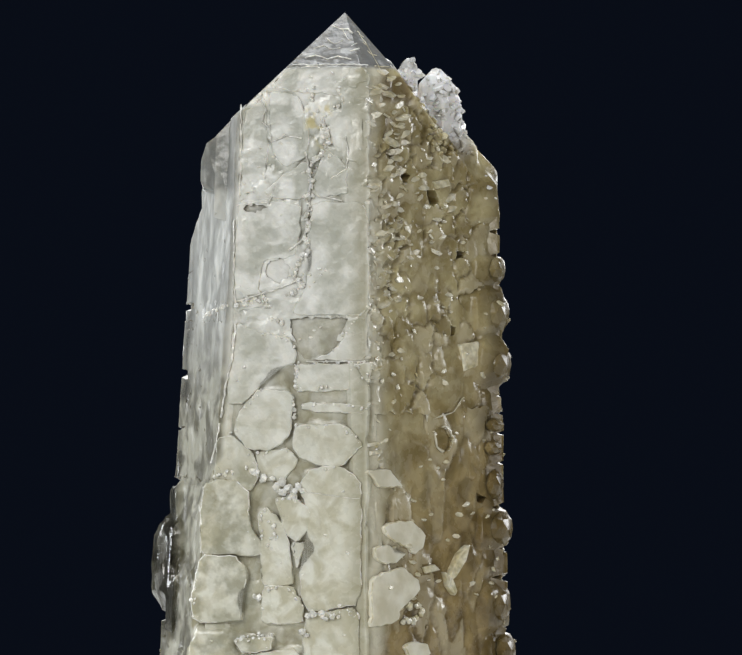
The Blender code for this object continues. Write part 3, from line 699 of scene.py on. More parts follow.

# %% [markdown]
# ## Plates
#
# The flat plates are the last growth on the front. Real ones have rounded, slightly
# ragged outlines and a bevelled rim that shines in places. Each outline is written
# as a few corners, which are cut off once to round them, and small random steps make
# it ragged. A slab is then built from three rings: the root, the wall and the rim,
# and runs of the rim get the white quartz as a painted highlight of their shine.

# %% Outlines of the plates
# An outline as (across, down), and how far the plate stands out of its face.
MAIN_PLATES = [
    ([(-8, 7.9), (3, 7.9), (3.1, 12.4), (-2.6, 11.4), (-6.3, 11.2), (-10, 10.7)], 0.1),
    ([(-10.4, 11.2), (-6.6, 11.8), (-5.8, 14), (-5, 17.6), (-5.3, 20.2), (-8.4, 21.9), (-10, 19.2),
      (-10.3, 15)], 0.15),
    ([(-14, 14.2), (-11, 11.8), (-10.7, 19.4), (-11.4, 24.6), (-14.5, 25.6)], 0.08),
    ([(-2.4, 14.3), (2.4, 13.4), (2.6, 19.8), (0.9, 21.4), (-1, 19.8), (-1.9, 17.6)], 0.06),
    ([(-2.8, 19.2), (-1.3, 20.2), (0.6, 22), (0.1, 23.6), (0.5, 25.4), (-3.7, 25.9), (-4.3, 23.5)],
      0.2),
    ([(-8.2, 22.6), (-5.2, 20.9), (-4.8, 24.6), (-6, 26.2), (-9.6, 25.9), (-11.2, 25.2)], 0.2),
    ([(-14.6, 26.2), (-9.8, 26.4), (-6.2, 27), (-6.3, 31.2), (-7, 34.2), (-11.4, 34.4),
      (-12.1, 38.4), (-11.2, 41), (-15.2, 41.8), (-15.3, 33)], 0.15),
    ([(-4.3, 26.6), (3, 26.8), (3.3, 34), (3.3, 42.2), (-7.4, 42.2), (-5.4, 38.8), (-4.4, 34),
      (-5, 31)], 0.25),
    ([(-15.3, 43.4), (-11.5, 44.8), (-8, 45.5), (-6.8, 47.5), (-6.9, 48.9), (-10.5, 50),
      (-11.8, 52.1), (-13.9, 54.5), (-16.5, 54.5)], 0.2),
    ([(1.4, 43), (3.2, 43), (3.2, 48.5), (-4.6, 48.6), (-1.4, 47.4), (0.4, 44.4)], 0.15),
    ([(-6.8, 49.3), (0.8, 49.3), (1.6, 51), (3.2, 52.2), (-2, 52.4), (-6.8, 52.6)], -0.05),
    ([(1.4, 49.2), (3.5, 49.2), (3.3, 51.6)], 0.45),
    ([(-5.6, 54.7), (3, 55.1), (3, 55.7), (-5.6, 55.3)], 0.1),
    ([(-11.6, 52.9), (-7.4, 53.3), (-7.8, 58.5), (-9.2, 60), (-10.9, 60.8), (-13.4, 60.5),
      (-14.9, 58.5), (-14.7, 56.7), (-13.4, 54.8)], 0.4),
    ([(-6.6, 57.8), (-0.1, 57.8), (2.3, 60.2), (0.3, 62), (-0.8, 63), (-3.6, 62.8), (-5.9, 61.8),
      (-7, 60.5)], 0.35),
    ([(-17.4, 59.8), (-15.6, 59.3), (-13.2, 61.6), (-12.6, 62.9), (-12.5, 65), (-13.4, 66.6),
      (-16, 65.2), (-17.6, 62.6)], 0.2),
    ([(-12.2, 61.6), (-10.6, 61.5), (-8, 61.2), (-6.9, 62.6), (-8.8, 65.2), (-11.9, 64.6)], -0.05),
    ([(-19.2, 66), (-17.4, 65.4), (-14.8, 65.9), (-13.6, 67.2), (-13.8, 69.9), (-13.2, 72.5),
      (-11.9, 73.9), (-11.8, 75.5), (-19.9, 75.3), (-19.7, 69.6)], 0.4),
    ([(-10.8, 69.3), (-8.8, 71.7), (-8.1, 73.9), (-7.7, 76.9), (-7.5, 79.6), (-11.2, 79.7),
      (-11.3, 73.5), (-11.7, 70)], 0.35),
    ([(-9.4, 67.8), (-6.6, 68.2), (-5.1, 69.6), (-5.4, 72.2), (-6.6, 73.4), (-7.4, 72.9),
      (-8.4, 70.7)], 0.45),
    ([(-7.3, 74.1), (-5.7, 74.1), (-6.6, 77.4)], 0.1),
    ([(-6, 66.2), (-4.8, 64.3), (-2.7, 63.6), (-0.3, 63.7), (1, 64.8), (2, 65.9), (2, 82),
      (-4.6, 83.4), (-5.6, 81.3), (-5.8, 77.7), (-3.6, 74.9), (-4.8, 72.7), (-4.9, 68.9)], 0.4),
    ([(-19.8, 76.1), (-15.5, 76.1), (-13.9, 77.7), (-13.9, 79.2), (-15.1, 81.2), (-14.7, 83.6),
      (-14.4, 84.6), (-19.7, 84.8), (-20.8, 84.2), (-20.9, 81.8)], 0.7),
    ([(-11.2, 80.3), (-7.6, 80.2), (-6, 82.6), (-6, 84.8), (-11.2, 84.9)], 0.45),
    ([(-15.1, 87.5), (-10.1, 87.2), (-10.5, 88.7), (-14, 89)], 0.85),
    ([(-5, 84.2), (1.6, 83), (1.8, 92.6), (-1.4, 94.2), (-5.6, 93), (-5.3, 87)], 0.45),
    ([(-13.6, 89.8), (-6.4, 88.8), (-6.2, 98.4), (-14.4, 98.2)], 0.4),
]
PALE_PLATES = [
    ([(4.9, 71.7), (6.3, 71), (8.8, 71), (9.9, 72), (10.8, 73.1), (10.4, 74.8), (9.2, 75.7),
      (7.7, 74.5), (6.3, 73.9), (5.2, 72.8)], 0.85),
    ([(3.6, 74.5), (5.7, 74.3), (6.6, 75.2), (8.1, 75.6), (6.6, 76.9), (4.8, 76.9), (3.6, 75.7)],
      0.8),
    ([(3.3, 78.8), (4.9, 78), (7.6, 77.4), (8.5, 78.3), (9.8, 79.4), (9.9, 80.8), (8.8, 82),
      (7.1, 83.3), (7, 85), (3, 85.7), (3.2, 84.1), (3.1, 80.4)], 0.9),
    ([(2.6, 63.7), (5.7, 63.8), (6.7, 65), (7.6, 66.2), (4.5, 66.4)], 0.8),
    ([(7.6, 88.5), (8.7, 87.9), (10.9, 88.1), (11.5, 89.9), (8.6, 90.4)], 0.95),
]
print(len(MAIN_PLATES), "plates on the main face,", len(PALE_PLATES), "pale ones on the right")


# %% Slabs from outlines
RAGGED = 0.13
PLATE_RIM = 0.17
FIN_RIM = 0.2
PIT_RIM = 0.14
ROOT = 2.2
CORNER_CUT = 0.12
BEVEL = 0.8
PAINTED_SHINE_RUN = (3, 9)
FOLDED = 1e-4


def seen_outline(face, corners):
    """An outline that the viewer sees, as face coordinates, anticlockwise."""
    flat = [face.seen_at(across, down) for across, down in corners]
    area = sum(one.x * two.y - two.x * one.y for one, two in sides(flat))
    return flat if area > 0 else flat[::-1]


def sides(outline):
    return zip(outline, outline[1:] + outline[:1])


def rounded(outline):
    """Cuts off every corner."""
    ring = []
    for one, two in sides(outline):
        ring += [one.lerp(two, CORNER_CUT), one.lerp(two, 1.0 - CORNER_CUT)]
    return ring


def ragged(outline, step=0.7, by=RAGGED):
    """Points every millimetre or so, each moved a little."""
    ring = []
    for one, two in sides(outline):
        count = max(1, round((two - one).length / step))
        for index in range(count):
            spot = one.lerp(two, index / count)
            ring.append(spot + Vector((rng.uniform(-by, by), rng.uniform(-by, by))))
    return ring


def inset(outline, by):
    """Moves every side of an anticlockwise outline inwards."""
    ring = []
    for index, spot in enumerate(outline):
        before = (spot - outline[index - 1]).normalized()
        after = (outline[(index + 1) % len(outline)] - spot).normalized()
        inwards = Vector((-before.y - after.y, before.x + after.x))
        ring.append(spot + inwards.normalized() * by if inwards.length > FOLDED else spot)
    return ring


def slab(outline, face, rise, rim, root=ROOT, bright=False):
    """A plate with a bevelled rim, rooted below the face. Runs of the rim may take the second,
    white material: a painted highlight.
    """
    top = inset(outline, BEVEL * rim)
    rings = [(outline, rise - root), (outline, rise - rim), (top, rise)]
    bm = bmesh.new()
    made = [[bm.verts.new(face.point(spot, height) * MM) for spot in ring]
            for ring, height in rings]
    painted_shine, run = False, 0
    for index in range(len(outline)):
        after = (index + 1) % len(outline)
        bm.faces.new((made[0][index], made[0][after], made[1][after], made[1][index]))
        band = bm.faces.new((made[1][index], made[1][after], made[2][after], made[2][index]))
        # runs of the rim get the second, white material: a painted highlight of the shine
        if bright:
            if run == 0:
                painted_shine, run = not painted_shine, rng.randint(*PAINTED_SHINE_RUN)
            run -= 1
            band.material_index = int(painted_shine)
    bm.faces.new(made[0][::-1])
    bm.faces.new(made[-1])
    bmesh.ops.triangulate(bm, faces=[side for side in bm.faces if len(side.verts) > 4])
    return shape_from(bm, "slab")


rng = random.Random(5)
print("rims of", PLATE_RIM, "mm")

# %% Fins and plates
# Slivers of broken quartz that stand out of the right face, with their rise.
FINS = [
    ([(16.7, 74.6), (16.2, 76.8), (14.8, 79), (13.7, 79.8), (14.3, 77.8), (15.3, 75.8)], 1.3),
    ([(13.3, 78.3), (14.2, 78.8), (15, 81), (14.7, 81.6), (13.7, 80.3)], 1.2),
    ([(10.4, 77.5), (12, 77.2), (12.7, 78), (10.8, 78.4)], 1.0),
    ([(3, 60.1), (4.3, 59.9), (4.4, 60.4), (3, 60.6)], 0.7),
    ([(3.2, 61.2), (4.7, 61), (4.8, 61.6), (3.2, 61.8)], 0.7),
    ([(15.6, 46.4), (18.2, 46), (18.4, 49.4), (16.2, 50.2)], 0.9),
    ([(12, 23.6), (14, 23.2), (14.4, 24.2), (12.6, 24.6)], 0.8),
]

# the lower plates meet more closely, so their outlines grow more
LOWER_FROM = 45.0
LOWER_WIDER = 0.45
UPPER_WIDER = 0.16


def add_plate(corners, name, rise, finish, wider):
    outline = ragged(rounded(inset(seen_outline(FACES[name], corners), -wider)))
    plate = bpy.data.objects.new("plate", slab(outline, FACES[name], rise, PLATE_RIM, bright=True))
    plate.data.materials.append(finish)
    plate.data.materials.append(broken_quartz_and_highlight)
    growths.objects.link(plate)


for corners, rise in FINS:
    outline = seen_outline(FACES["right"], corners)
    add_growth("fin", slab(outline, FACES["right"], rise, FIN_RIM), broken_quartz_and_highlight)
for corners, rise in MAIN_PLATES:
    wider = LOWER_WIDER if corners[0][1] > LOWER_FROM else UPPER_WIDER
    add_plate(corners, "main", rise, quartz, wider)
for corners, rise in PALE_PLATES:
    add_plate(corners, "right", rise, pale_quartz, 0.0)
print(len(FINS), "fins,", len(MAIN_PLATES) + len(PALE_PLATES), "plates")


# %% The clear shoulder
# Three upright blades left of the pale face, each the hull of some points.
def hull(points):
    """The convex shape round some points, given as (x, y, down)."""
    bm = bmesh.new()
    spots = [bm.verts.new(Vector((x, y, HEIGHT - down)) * MM) for x, y, down in points]
    made = bmesh.ops.convex_hull(bm, input=spots)
    inner = [part for part in made["geom_interior"] if isinstance(part, bmesh.types.BMVert)]
    bmesh.ops.delete(bm, geom=inner, context="VERTS")
    bmesh.ops.recalc_face_normals(bm, faces=bm.faces)
    return shape_from(bm, "hull")


SHOULDER = [
    [(-13.8, -15.6, 12.9), (-14, -7, 13.4), (-15.9, -13.9, 14.8), (-16.2, -14.6, 26),
      (-14.9, -16.4, 26), (-14.6, -16.4, 16), (-10, -8, 16), (-10, -8, 28)],
    [(-15.2, -13.6, 14.3), (-15.2, -8, 14.5), (-18, -12.9, 17.2), (-17.9, -7, 17.4),
      (-18.4, -13, 28.6), (-16, -14.4, 29.4), (-12, -8, 16), (-12, -8, 30)],
    [(-17.2, -11.4, 16.6), (-17.2, -6, 16.9), (-19.4, -10.4, 18.2), (-19.3, -4.9, 18.5),
      (-20.2, -9.4, 20.6), (-20.2, -3.9, 20.8), (-20.3, -8.9, 23.4), (-19.9, -8.6, 24.4),
      (-20, -3.5, 24.6), (-17.6, -12, 25), (-12, -7, 18), (-14, -2, 28)],
]
for points in SHOULDER:
    add_growth("shoulder", hull(points), quartz)
print(len(SHOULDER), "blades")

# %% Lobes
# Round lobes on both outlines: the middle as (x, y, down) and the half sizes.
LOBES = [
    ((-23.9, 2.4, 77.6), (3.8, 6, 7.9)), ((21.6, -1, 72.4), (2.2, 4, 2.7)),
    ((21.2, -1, 35.8), (1.5, 4, 2.2)), ((21.3, -1, 42), (2, 4, 2.9)),
    ((21.4, -1, 49.2), (2.2, 4, 2.9)), ((20.8, -1, 57.8), (1.7, 4, 1.2)),
    ((20.6, -1, 61), (1.7, 4, 1.4)), ((20.9, -1, 66.2), (1.6, 4, 2.6)),
    ((21.4, -1, 83.2), (2.1, 4, 3)), ((22.4, -1, 89.6), (1.8, 4, 2.6)),
]
for middle, half in LOBES:
    x, y, down = middle
    bm = bmesh.new()
    bmesh.ops.create_icosphere(bm, subdivisions=2, radius=1.0)
    place = Matrix.LocRotScale(Vector((x, y, HEIGHT - down)) * MM, None, Vector(half) * MM)
    bmesh.ops.transform(bm, verts=bm.verts, matrix=place)
    add_growth("lobe", shape_from(bm, "lobe"), quartz)

# %% [markdown]
# ## Pits and notches
#
# Later growth also left places open: small pits in the faces, and notches between
# the lobes of both outlines. Their shapes are made here and cut out when all has
# grown together.

# %% Their places
# The face, the outline and the depth below the face.
PITS = [
    ("main", [(-7.6, 42.7), (0.6, 42.7), (-0.1, 43.9), (-1.8, 47), (-5.4, 48.7), (-6.6, 47.2),
      (-7.3, 45.1)], 0.42),
    ("main", [(-10.9, 35), (-9.2, 34.3), (-7.5, 35.4), (-7.9, 36.9), (-9.4, 37.9), (-10.9, 37)],
      0.22),
    ("main", [(-14.2, 27.3), (-12.9, 26.9), (-11.4, 27.1), (-10.6, 27.4), (-11.9, 27.9),
      (-13.6, 28)], 0.4),
    ("right", [(11.2, 25), (12.6, 24.8), (12.9, 26.6), (12, 27.2), (11.3, 26.4)], 1.6),
    ("right", [(7.8, 22.2), (8.9, 22.6), (8.4, 24), (7.7, 23.6)], 1.3),
    ("right", [(12.4, 58.2), (13.6, 58), (14.5, 59.4), (14.4, 61), (13.4, 61.6), (12.5, 60.6),
      (12.1, 59.2)], -0.15),
    ("right", [(15.2, 33.4), (16.5, 33.2), (16.6, 34.2), (15.4, 34.4)], 1.2),
    ("right", [(14.6, 43.8), (15.3, 43.9), (15.3, 45.2), (14.7, 45.1)], 1.2),
    ("right", [(18.2, 67.2), (19.6, 68), (19.2, 69), (18.4, 68.6)], 1.2),
]
# How far out a notch lies, how far down, its half height and how deep it bites.
NOTCHES = [
    (21.2, 30.2, 0.8, 1.3), (21.4, 33.7, 0.7, 1.1), (22.1, 38.2, 0.7, 1), (23, 45.6, 0.5, 0.7),
    (22.4, 53.4, 0.9, 1.2), (21.7, 56.4, 0.5, 0.8), (21.9, 59.2, 0.5, 1.1), (22, 63, 0.6, 0.9),
    (21.8, 69.4, 1, 1.6), (22.8, 75.1, 0.8, 1.3), (21.9, 79.4, 0.8, 1.5), (23, 86.4, 0.6, 0.8),
    (-20, 23.8, 0.6, 0.6), (-20.2, 28.6, 0.6, 0.6), (-20.8, 41, 0.8, 0.7), (-21.2, 50.6, 0.8, 0.8),
    (-22.6, 65.8, 1, 1.2), (-24.2, 84.6, 1, 1.6), (-22, 36, 0.4, 0.4), (-22.8, 58.4, 0.5, 0.5),
]
print(len(PITS), "pits and", len(NOTCHES), "notches")

# %% Their shapes
# A notch is the hull of two triangles, each open outwards with its point inside, a
# large one in front and a small one behind.
NOTCH_LONG = 3.5
RIGHT_CORNER_Y = -1.6
LEFT_CORNER_Y = 2.4
DROOP = 0.7
OUTSIDE = 4.0
PIT_TOP = 2.0

pits = group("pits")
for reach, down, tall, bite in NOTCHES:
    side = math.copysign(1.0, reach)
    wedge = []
    for y, thick in ((-NOTCH_LONG, 1.0), (0.62 * NOTCH_LONG, 0.5)):
        y += RIGHT_CORNER_Y if side > 0 else LEFT_CORNER_Y
        droop = rng.uniform(-DROOP, DROOP)
        out = reach + side * OUTSIDE
        wedge += [(out, y, down + droop - thick * (1.6 * tall + 0.4)),
                  (out, y, down + droop + thick * (1.3 * tall + 0.3)),
                  (reach - side * (0.8 * bite + 0.1), 0.6 * y, down + 0.5 * droop)]
    add_growth("notch", hull(wedge), quartz, into=pits)
for name, corners, depth in PITS:
    outline = ragged(rounded(seen_outline(FACES[name], corners)), step=0.5, by=0.2)
    mesh = slab(outline, FACES[name], PIT_TOP, PIT_RIM, root=PIT_TOP + depth)
    add_growth("pit", mesh, quartz, into=pits)

# %% [markdown]
# ## Seams of crumbs
#
# Where two sets of plates met, the quartz is broken into bright crumbs, in wandering
# seams, whose white is partly a painted highlight. Each seam is a line of points on a
# face. The tree walks along it, drops a faceted crumb every half millimetre or so,
# turns and sizes it at random, and joins the crumbs to one closed shape.

# %% A tree for crumbs
FULL_TURN = 6.28

crumb_tree = Tree("crumbs", {"Spacing": 0.0004, "Smallest": 0.0002, "Largest": 0.0005,
                             "Spread": 0.0003, "Seed": 0, "Material": None})
take = crumb_tree.input
add = crumb_tree.node
route = add("GeometryNodeMeshToCurve", None, {0: take("Geometry")})
spots = add("GeometryNodeCurveToPoints", {"mode": "LENGTH"}, {
    "Curve": route, "Length": take("Spacing")})
spots = crumb_tree.strayed(spots, take("Spread"))
grain = add("GeometryNodeMeshIcoSphere", None, {"Radius": 1.0, "Subdivisions": 1})
grain_size = crumb_tree.random(take("Smallest"), take("Largest"), take("Seed") + 1.0)
uneven = crumb_tree.random_vector((0.6, 0.6, 0.45), (1.4, 1.2, 1.0), take("Seed") + 2.0)
crumbs = add("GeometryNodeInstanceOnPoints", None, {
    "Points": spots, "Instance": grain, "Scale": crumb_tree.scaled(uneven, grain_size),
    "Rotation": crumb_tree.random_vector((0, 0, 0), (FULL_TURN,) * 3, take("Seed") + 3.0)})
crumb_tree.finish(crumb_tree.one_shape(crumbs), take("Material"))


def line_on(face, points, rise):
    """A line of edges on a face, through places that the viewer sees."""
    bm = bmesh.new()
    spots = [face.point(face.seen_at(across, down), rise) for across, down in points]
    verts = [bm.verts.new(spot * MM) for spot in spots]
    for one, two in zip(verts, verts[1:]):
        bm.edges.new((one, two))
    return shape_from(bm, "line")


# %% The seams
# The face, the line as (across, down), the rise, the spacing, the smallest and the
# largest crumb, and the spread.
SEAMS = [
    ("main", [(-3.2, 15), (-2.1, 18.2), (-3.5, 20.3), (-5, 21.8), (-4.6, 24.1), (-4.3, 25.6),
      (-5.6, 26), (-4.6, 27.4), (-5.5, 28.6), (-4.8, 30), (-5.5, 31.4), (-4.8, 33.3), (-6.3, 34.6),
      (-7, 37.1), (-5.7, 38.1), (-8, 39.6)], 0.26, 0.36, 0.16, 0.56, 0.16),
    ("main", [(-4.6, 10.6), (-4.2, 13), (-3.4, 14.6)], 0.1, 0.5, 0.16, 0.4, 0.4),
    ("main", [(-1.6, 10.6), (0.4, 13), (-2.6, 14), (-3.2, 16)], 0.1, 0.5, 0.16, 0.4, 0.3),
    ("left", [(-19.4, 42.5), (-17.2, 41.6), (-15.6, 40.9)], 0.5, 0.4, 0.16, 0.45, 0.3),
    ("main", [(-15, 40.7), (-11.6, 40.1), (-9.6, 41.6)], 0.2, 0.3, 0.18, 0.55, 0.4),
    ("main", [(-10, 42.6), (-8.6, 43.6), (-8.2, 45.4)], 0.1, 0.5, 0.2, 0.45, 0.3),
    ("main", [(-6.6, 48.9), (-3, 48.9), (0.5, 48.8), (2.9, 48.9)], 0.1, 0.6, 0.12, 0.34, 0.2),
    ("main", [(-6.8, 49), (-7, 52.8), (-7.2, 56.4)], 0.1, 0.5, 0.15, 0.35, 0.25),
    ("main", [(-13.2, 63.6), (-11.6, 64.9), (-9.2, 65.6), (-6.6, 66.4)], 0.4, 0.4, 0.22, 0.78,
      0.45),
    ("main", [(-9.4, 66.4), (-7.4, 67.2), (-6, 67)], 0.4, 0.38, 0.25, 0.8, 0.5),
    ("main", [(-19.8, 65), (-17.6, 64.4), (-15.4, 64.2)], 0.2, 0.4, 0.15, 0.4, 0.25),
    ("main", [(-20.2, 77.2), (-20.8, 80.4), (-21.2, 82.2)], 0.5, 0.3, 0.14, 0.36, 0.1),
    ("main", [(-12.8, 80.2), (-11.9, 81.6), (-13, 83.4), (-12.2, 84.4)], 0.55, 0.36, 0.22, 0.75,
      0.5),
    ("main", [(-5.2, 83.6), (-2.4, 84.2), (0.6, 83.8), (2.2, 84.6)], 0.5, 0.42, 0.2, 0.7, 0.45),
    ("main", [(-14.6, 87), (-9.6, 86.8), (-5.4, 86.4)], 0.55, 0.5, 0.2, 0.6, 0.35),
    ("main", [(-10.8, 71), (-9.7, 71.4), (-9.6, 73.2), (-10.6, 74.4)], 0.42, 0.5, 0.16, 0.45, 0.3),
    ("main", [(0.6, 15.2), (2.4, 18), (0.8, 22), (2.9, 25), (1, 28), (2.6, 32)], -0.1, 1.1, 0.14,
      0.5, 1.3),
    ("right", [(7.2, 82.9), (8.4, 82.8), (9.8, 82.9), (10.4, 83.9), (9, 84.8), (7.6, 84.8)], 0.45,
      0.5, 0.3, 0.75, 0.3),
]


def grow_crumbs(name, points, rise, sizes, seed):
    """Crumbs along a line on a face. The sizes are those of the table."""
    keys = ("Spacing", "Smallest", "Largest", "Spread")
    values = {key: size * MM for key, size in zip(keys, sizes)}
    grow("crumbs", put("crumbs", line_on(FACES[name], points, rise)), crumb_tree,
         {**values, "Seed": seed, "Material": broken_quartz_and_highlight}, broken_quartz_and_highlight)


for number, (name, points, rise, *sizes) in enumerate(SEAMS):
    grow_crumbs(name, points, rise, sizes, number)
print(len(SEAMS), "seams")

# %% Crumbs on rims
# They cling to three corners of every plate below the first storey.
STOREY = 42.0
RIM_CRUMBS = (0.62, 0.10, 0.34, 0.24)
SUNK = 0.02
FIRST_SEED = 60

lower = [plate for plate in MAIN_PLATES if plate[0][0][1] > STOREY]
for number, (corners, rise) in enumerate(lower):
    start = rng.randrange(len(corners))
    three = (corners * 2)[start:start + 3]
    grow_crumbs("main", three, rise - SUNK, RIM_CRUMBS, FIRST_SEED + number)
print(len(lower), "crumbed rims")

# %% [markdown]
# ## Ridges
#
# Some edges of plates stand up as thin bright ridges: a line swept with a small
# round profile, thicker and thinner along its way. Their white is partly a painted
# highlight.

# %% A tree for ridges
ridge_tree = Tree("ridge", {"Radius": 0.00015, "Wander": 0.0001, "Seed": 0, "Material": None})
take = ridge_tree.input
add = ridge_tree.node
route = add("GeometryNodeMeshToCurve", None, {0: take("Geometry")})
route = add("GeometryNodeResampleCurve", {"mode": "LENGTH"}, {"Curve": route, "Length": 0.5 * MM})
route = ridge_tree.strayed(route, take("Wander"))
swell = ridge_tree.random(0.5, 1.3, take("Seed") + 1.0)
profile = add("GeometryNodeCurvePrimitiveCircle", None, {"Resolution": 5, "Radius": 1.0})
swept = add("GeometryNodeCurveToMesh", None, {
    "Curve": route, "Profile Curve": profile, "Scale": swell * take("Radius"), "Fill Caps": True})
ridge_tree.finish(swept, take("Material"))

# %% The ridges
# The face, the line as (across, down), the rise and the radius.
FACES["tip"] = Face(*TERMINATION["main"][:2], TIP)
FACES["tip_right"] = Face(*TERMINATION["right"][:2], TIP)
RIDGE_WANDER = 0.07

RIDGES = [
    ("tip", [(-1.6, 1.9), (-0.7, 2.5), (0.3, 2.3), (1.1, 3)], 0.0, 0.13),
    ("tip_right", [(1.9, 3.1), (2.6, 3.6)], 0.0, 0.1),
    ("tip", [(-0.3, 2.5), (0.2, 3.6), (0.9, 4.2)], 0.0, 0.07),
    ("tip", [(-4.4, 5.2), (-2.9, 4.8), (-1.8, 5.4), (-0.6, 5.1)], 0.0, 0.07),
    ("tip", [(0.6, 5.6), (2, 5.2)], 0.0, 0.09),
    ("tip_right", [(3.1, 5.4), (3.8, 6.1), (4.4, 6.1)], 0.0, 0.09),
    ("tip", [(-2.6, 3.7), (-1.5, 4.5), (-0.3, 4.1)], 0.0, 0.1),
    ("tip", [(0.9, 4.8), (1.7, 4.4)], 0.0, 0.1),
    ("tip_right", [(2.5, 4.3), (3.2, 4.8)], 0.0, 0.1),
    ("tip", [(-5.6, 6.5), (-4, 6.1), (-2.3, 6.7), (-0.8, 6.3), (0.9, 6.8)], 0.0, 0.1),
    ("tip", [(-7.2, 7.4), (-4.6, 7.5), (-1.8, 7.45), (1.4, 7.5), (3.2, 7.6)], -0.02, 0.09),
    ("tip_right", [(4.2, 7.6), (5.2, 7.7), (6.2, 7.6)], -0.02, 0.09),
    ("tip", [(-9, 9), (-8.5, 8.6), (-7.9, 8.8), (-7.8, 9.6), (-8.4, 10), (-9, 9.7), (-9, 9)], 0.0,
      0.15),
    ("tip_right", [(1.7, 2.6), (3.4, 5.2), (5, 8.2)], 0.0, 0.07),
    ("main", [(-14.4, 12.9), (-14.5, 22), (-14.7, 26)], 0.12, 0.13),
    ("main", [(-11.8, 12.4), (-10.9, 13.6), (-11.6, 15.4), (-10.6, 16.2)], 0.2, 0.12),
    ("main", [(-10.2, 18.2), (-8.2, 17.4), (-6, 17.7)], 0.25, 0.11),
    ("main", [(-15, 27), (-12.6, 26.6), (-10.5, 26.8), (-9.8, 24.4)], 0.2, 0.14),
    ("main", [(0.1, 17.4), (0.6, 20), (0.2, 22), (-2, 23.4)], 0.2, 0.11),
    ("main", [(-3.8, 25.8), (-1.6, 26.1), (-0.3, 26.5)], 0.25, 0.12),
    ("main", [(-5.4, 19.6), (-4.7, 23.4), (-4.9, 27), (-5.6, 31.6), (-7.8, 33.4)], 0.25, 0.15),
    ("main", [(-6, 37.2), (-8.6, 38.4), (-12.8, 39.8), (-15, 40.4)], 0.3, 0.14),
    ("main", [(-15.4, 29), (-15.4, 38), (-15.1, 41)], 0.2, 0.13),
    ("main", [(-15.1, 43.4), (-15.6, 48), (-16.5, 52), (-17.2, 56.6)], 0.3, 0.17),
    ("main", [(-17.4, 57.4), (-18, 60.6), (-18.7, 62.9)], 0.1, 0.12),
    ("main", [(-19.6, 66.2), (-19.9, 69.4), (-20, 75.4)], 0.3, 0.12),
    ("main", [(-5.3, 48.75), (3, 48.75)], 0.1, 0.1),
    ("main", [(-6, 66.8), (-2, 67.3), (2.1, 67.8)], 0.42, 0.05),
    ("right", [(10.8, 54.2), (11.2, 56.6), (11.4, 59.4)], 0.35, 0.12),
    ("right", [(14.2, 57.3), (15.4, 58.4), (15.8, 60), (15, 62.2), (13.2, 64.4)], 0.75, 0.16),
    ("right", [(12.4, 58.4), (13.4, 57.9), (14.3, 58.6), (14.6, 60), (14, 61.2), (13, 61.4),
      (12.3, 60.6), (12.2, 59.2), (12.4, 58.4)], 0.7, 0.22),
    ("right", [(16.4, 53.8), (14.8, 56), (11.9, 56.8)], 0.45, 0.12),
]
for number, (name, points, rise, radius) in enumerate(RIDGES):
    grow("ridge", put("ridge", line_on(FACES[name], points, rise)), ridge_tree, {
        "Radius": radius * MM, "Wander": RIDGE_WANDER * MM, "Seed": number,
        "Material": broken_quartz_and_highlight}, broken_quartz_and_highlight)
print(len(RIDGES), "ridges")

# %% [markdown]
# ## Grown together
#
# Skins, plates, crumbs and ridges are joined to the crystal with one Boolean, so
# that the glass has a single closed surface. Separate shells inside each other
# would show as cracks. The pits and notches are cut out next, and what stands out
# of the limits is cut off. Loose crumbs that touch nothing are dropped.

# %% Join the larger growths
growths.objects.link(core)
cut_with(crystal, "UNION", growths)


def shells_of(bm):
    """The sets of points that hang together, the largest first."""
    left = set(bm.verts)
    shells = []
    while left:
        shell = {left.pop()}
        front = list(shell)
        while front:
            near = {edge.other_vert(vert) for vert in front for edge in vert.link_edges} & left
            front = list(near)
            left -= near
            shell |= near
        shells.append(shell)
    return sorted(shells, key=len, reverse=True)


def settle(thing, leftovers):
    """Keeps the result of the modifiers without loose crumbs, and removes the helpers."""
    mesh = evaluated(thing)
    thing.modifiers.clear()
    thing.data = mesh
    for old in leftovers:
        bpy.data.objects.remove(old)
    bm = bmesh.new()
    bm.from_mesh(mesh)
    loose = shells_of(bm)[1:]
    for shell in loose:
        bmesh.ops.delete(bm, geom=list(shell), context="VERTS")
    triangles = sum(len(side.verts) - 2 for side in bm.faces)
    print("triangles", triangles, "open edges", sum(not edge.is_manifold for edge in bm.edges),
          "loose parts dropped", len(loose))
    bm.to_mesh(mesh)
    bm.free()


cut_with(crystal, "DIFFERENCE", pits)
cut_with(crystal, "INTERSECT", limits)
settle(crystal, list(growths.objects) + list(pits.objects) + [plain_trim] + list(trims.values()))

# %% [markdown]
# ## Glints
#
# Small flat flakes lean back and catch the light from above. Most are on the right
# face, a few on the others, and the chips on the shoulder are full of them. On the main
# and right faces they take the white broken quartz, partly a painted glint. The tree
# scatters points over the crystal, keeps those in one region and in clumps, sets a
# flat six-sided flake on each, turned to the face and leaning, and joins them to the
# crystal.

# %% The places of flakes
# A place gets one where the surface faces the right way, inside a box, and where a
# noise is high.
flake_tree = Tree("flakes", {
    "Apart": 0.0012, "Out": (0.0, -1.0, 0.0), "Facing": 0.7, "Lowest": (-1.0, -1.0, -1.0),
    "Highest": (1.0, 1.0, 1.0), "Smallest": 0.0003, "Largest": 0.0008, "Wide": 1.6, "Lean": 0.45,
    "Lean spread": 0.25, "Seed": 0, "Clumps": 0.45, "Material": None})
take = flake_tree.input
add = flake_tree.node
DENSEST = 3.0e6
CLUMP_SCALE = 260.0

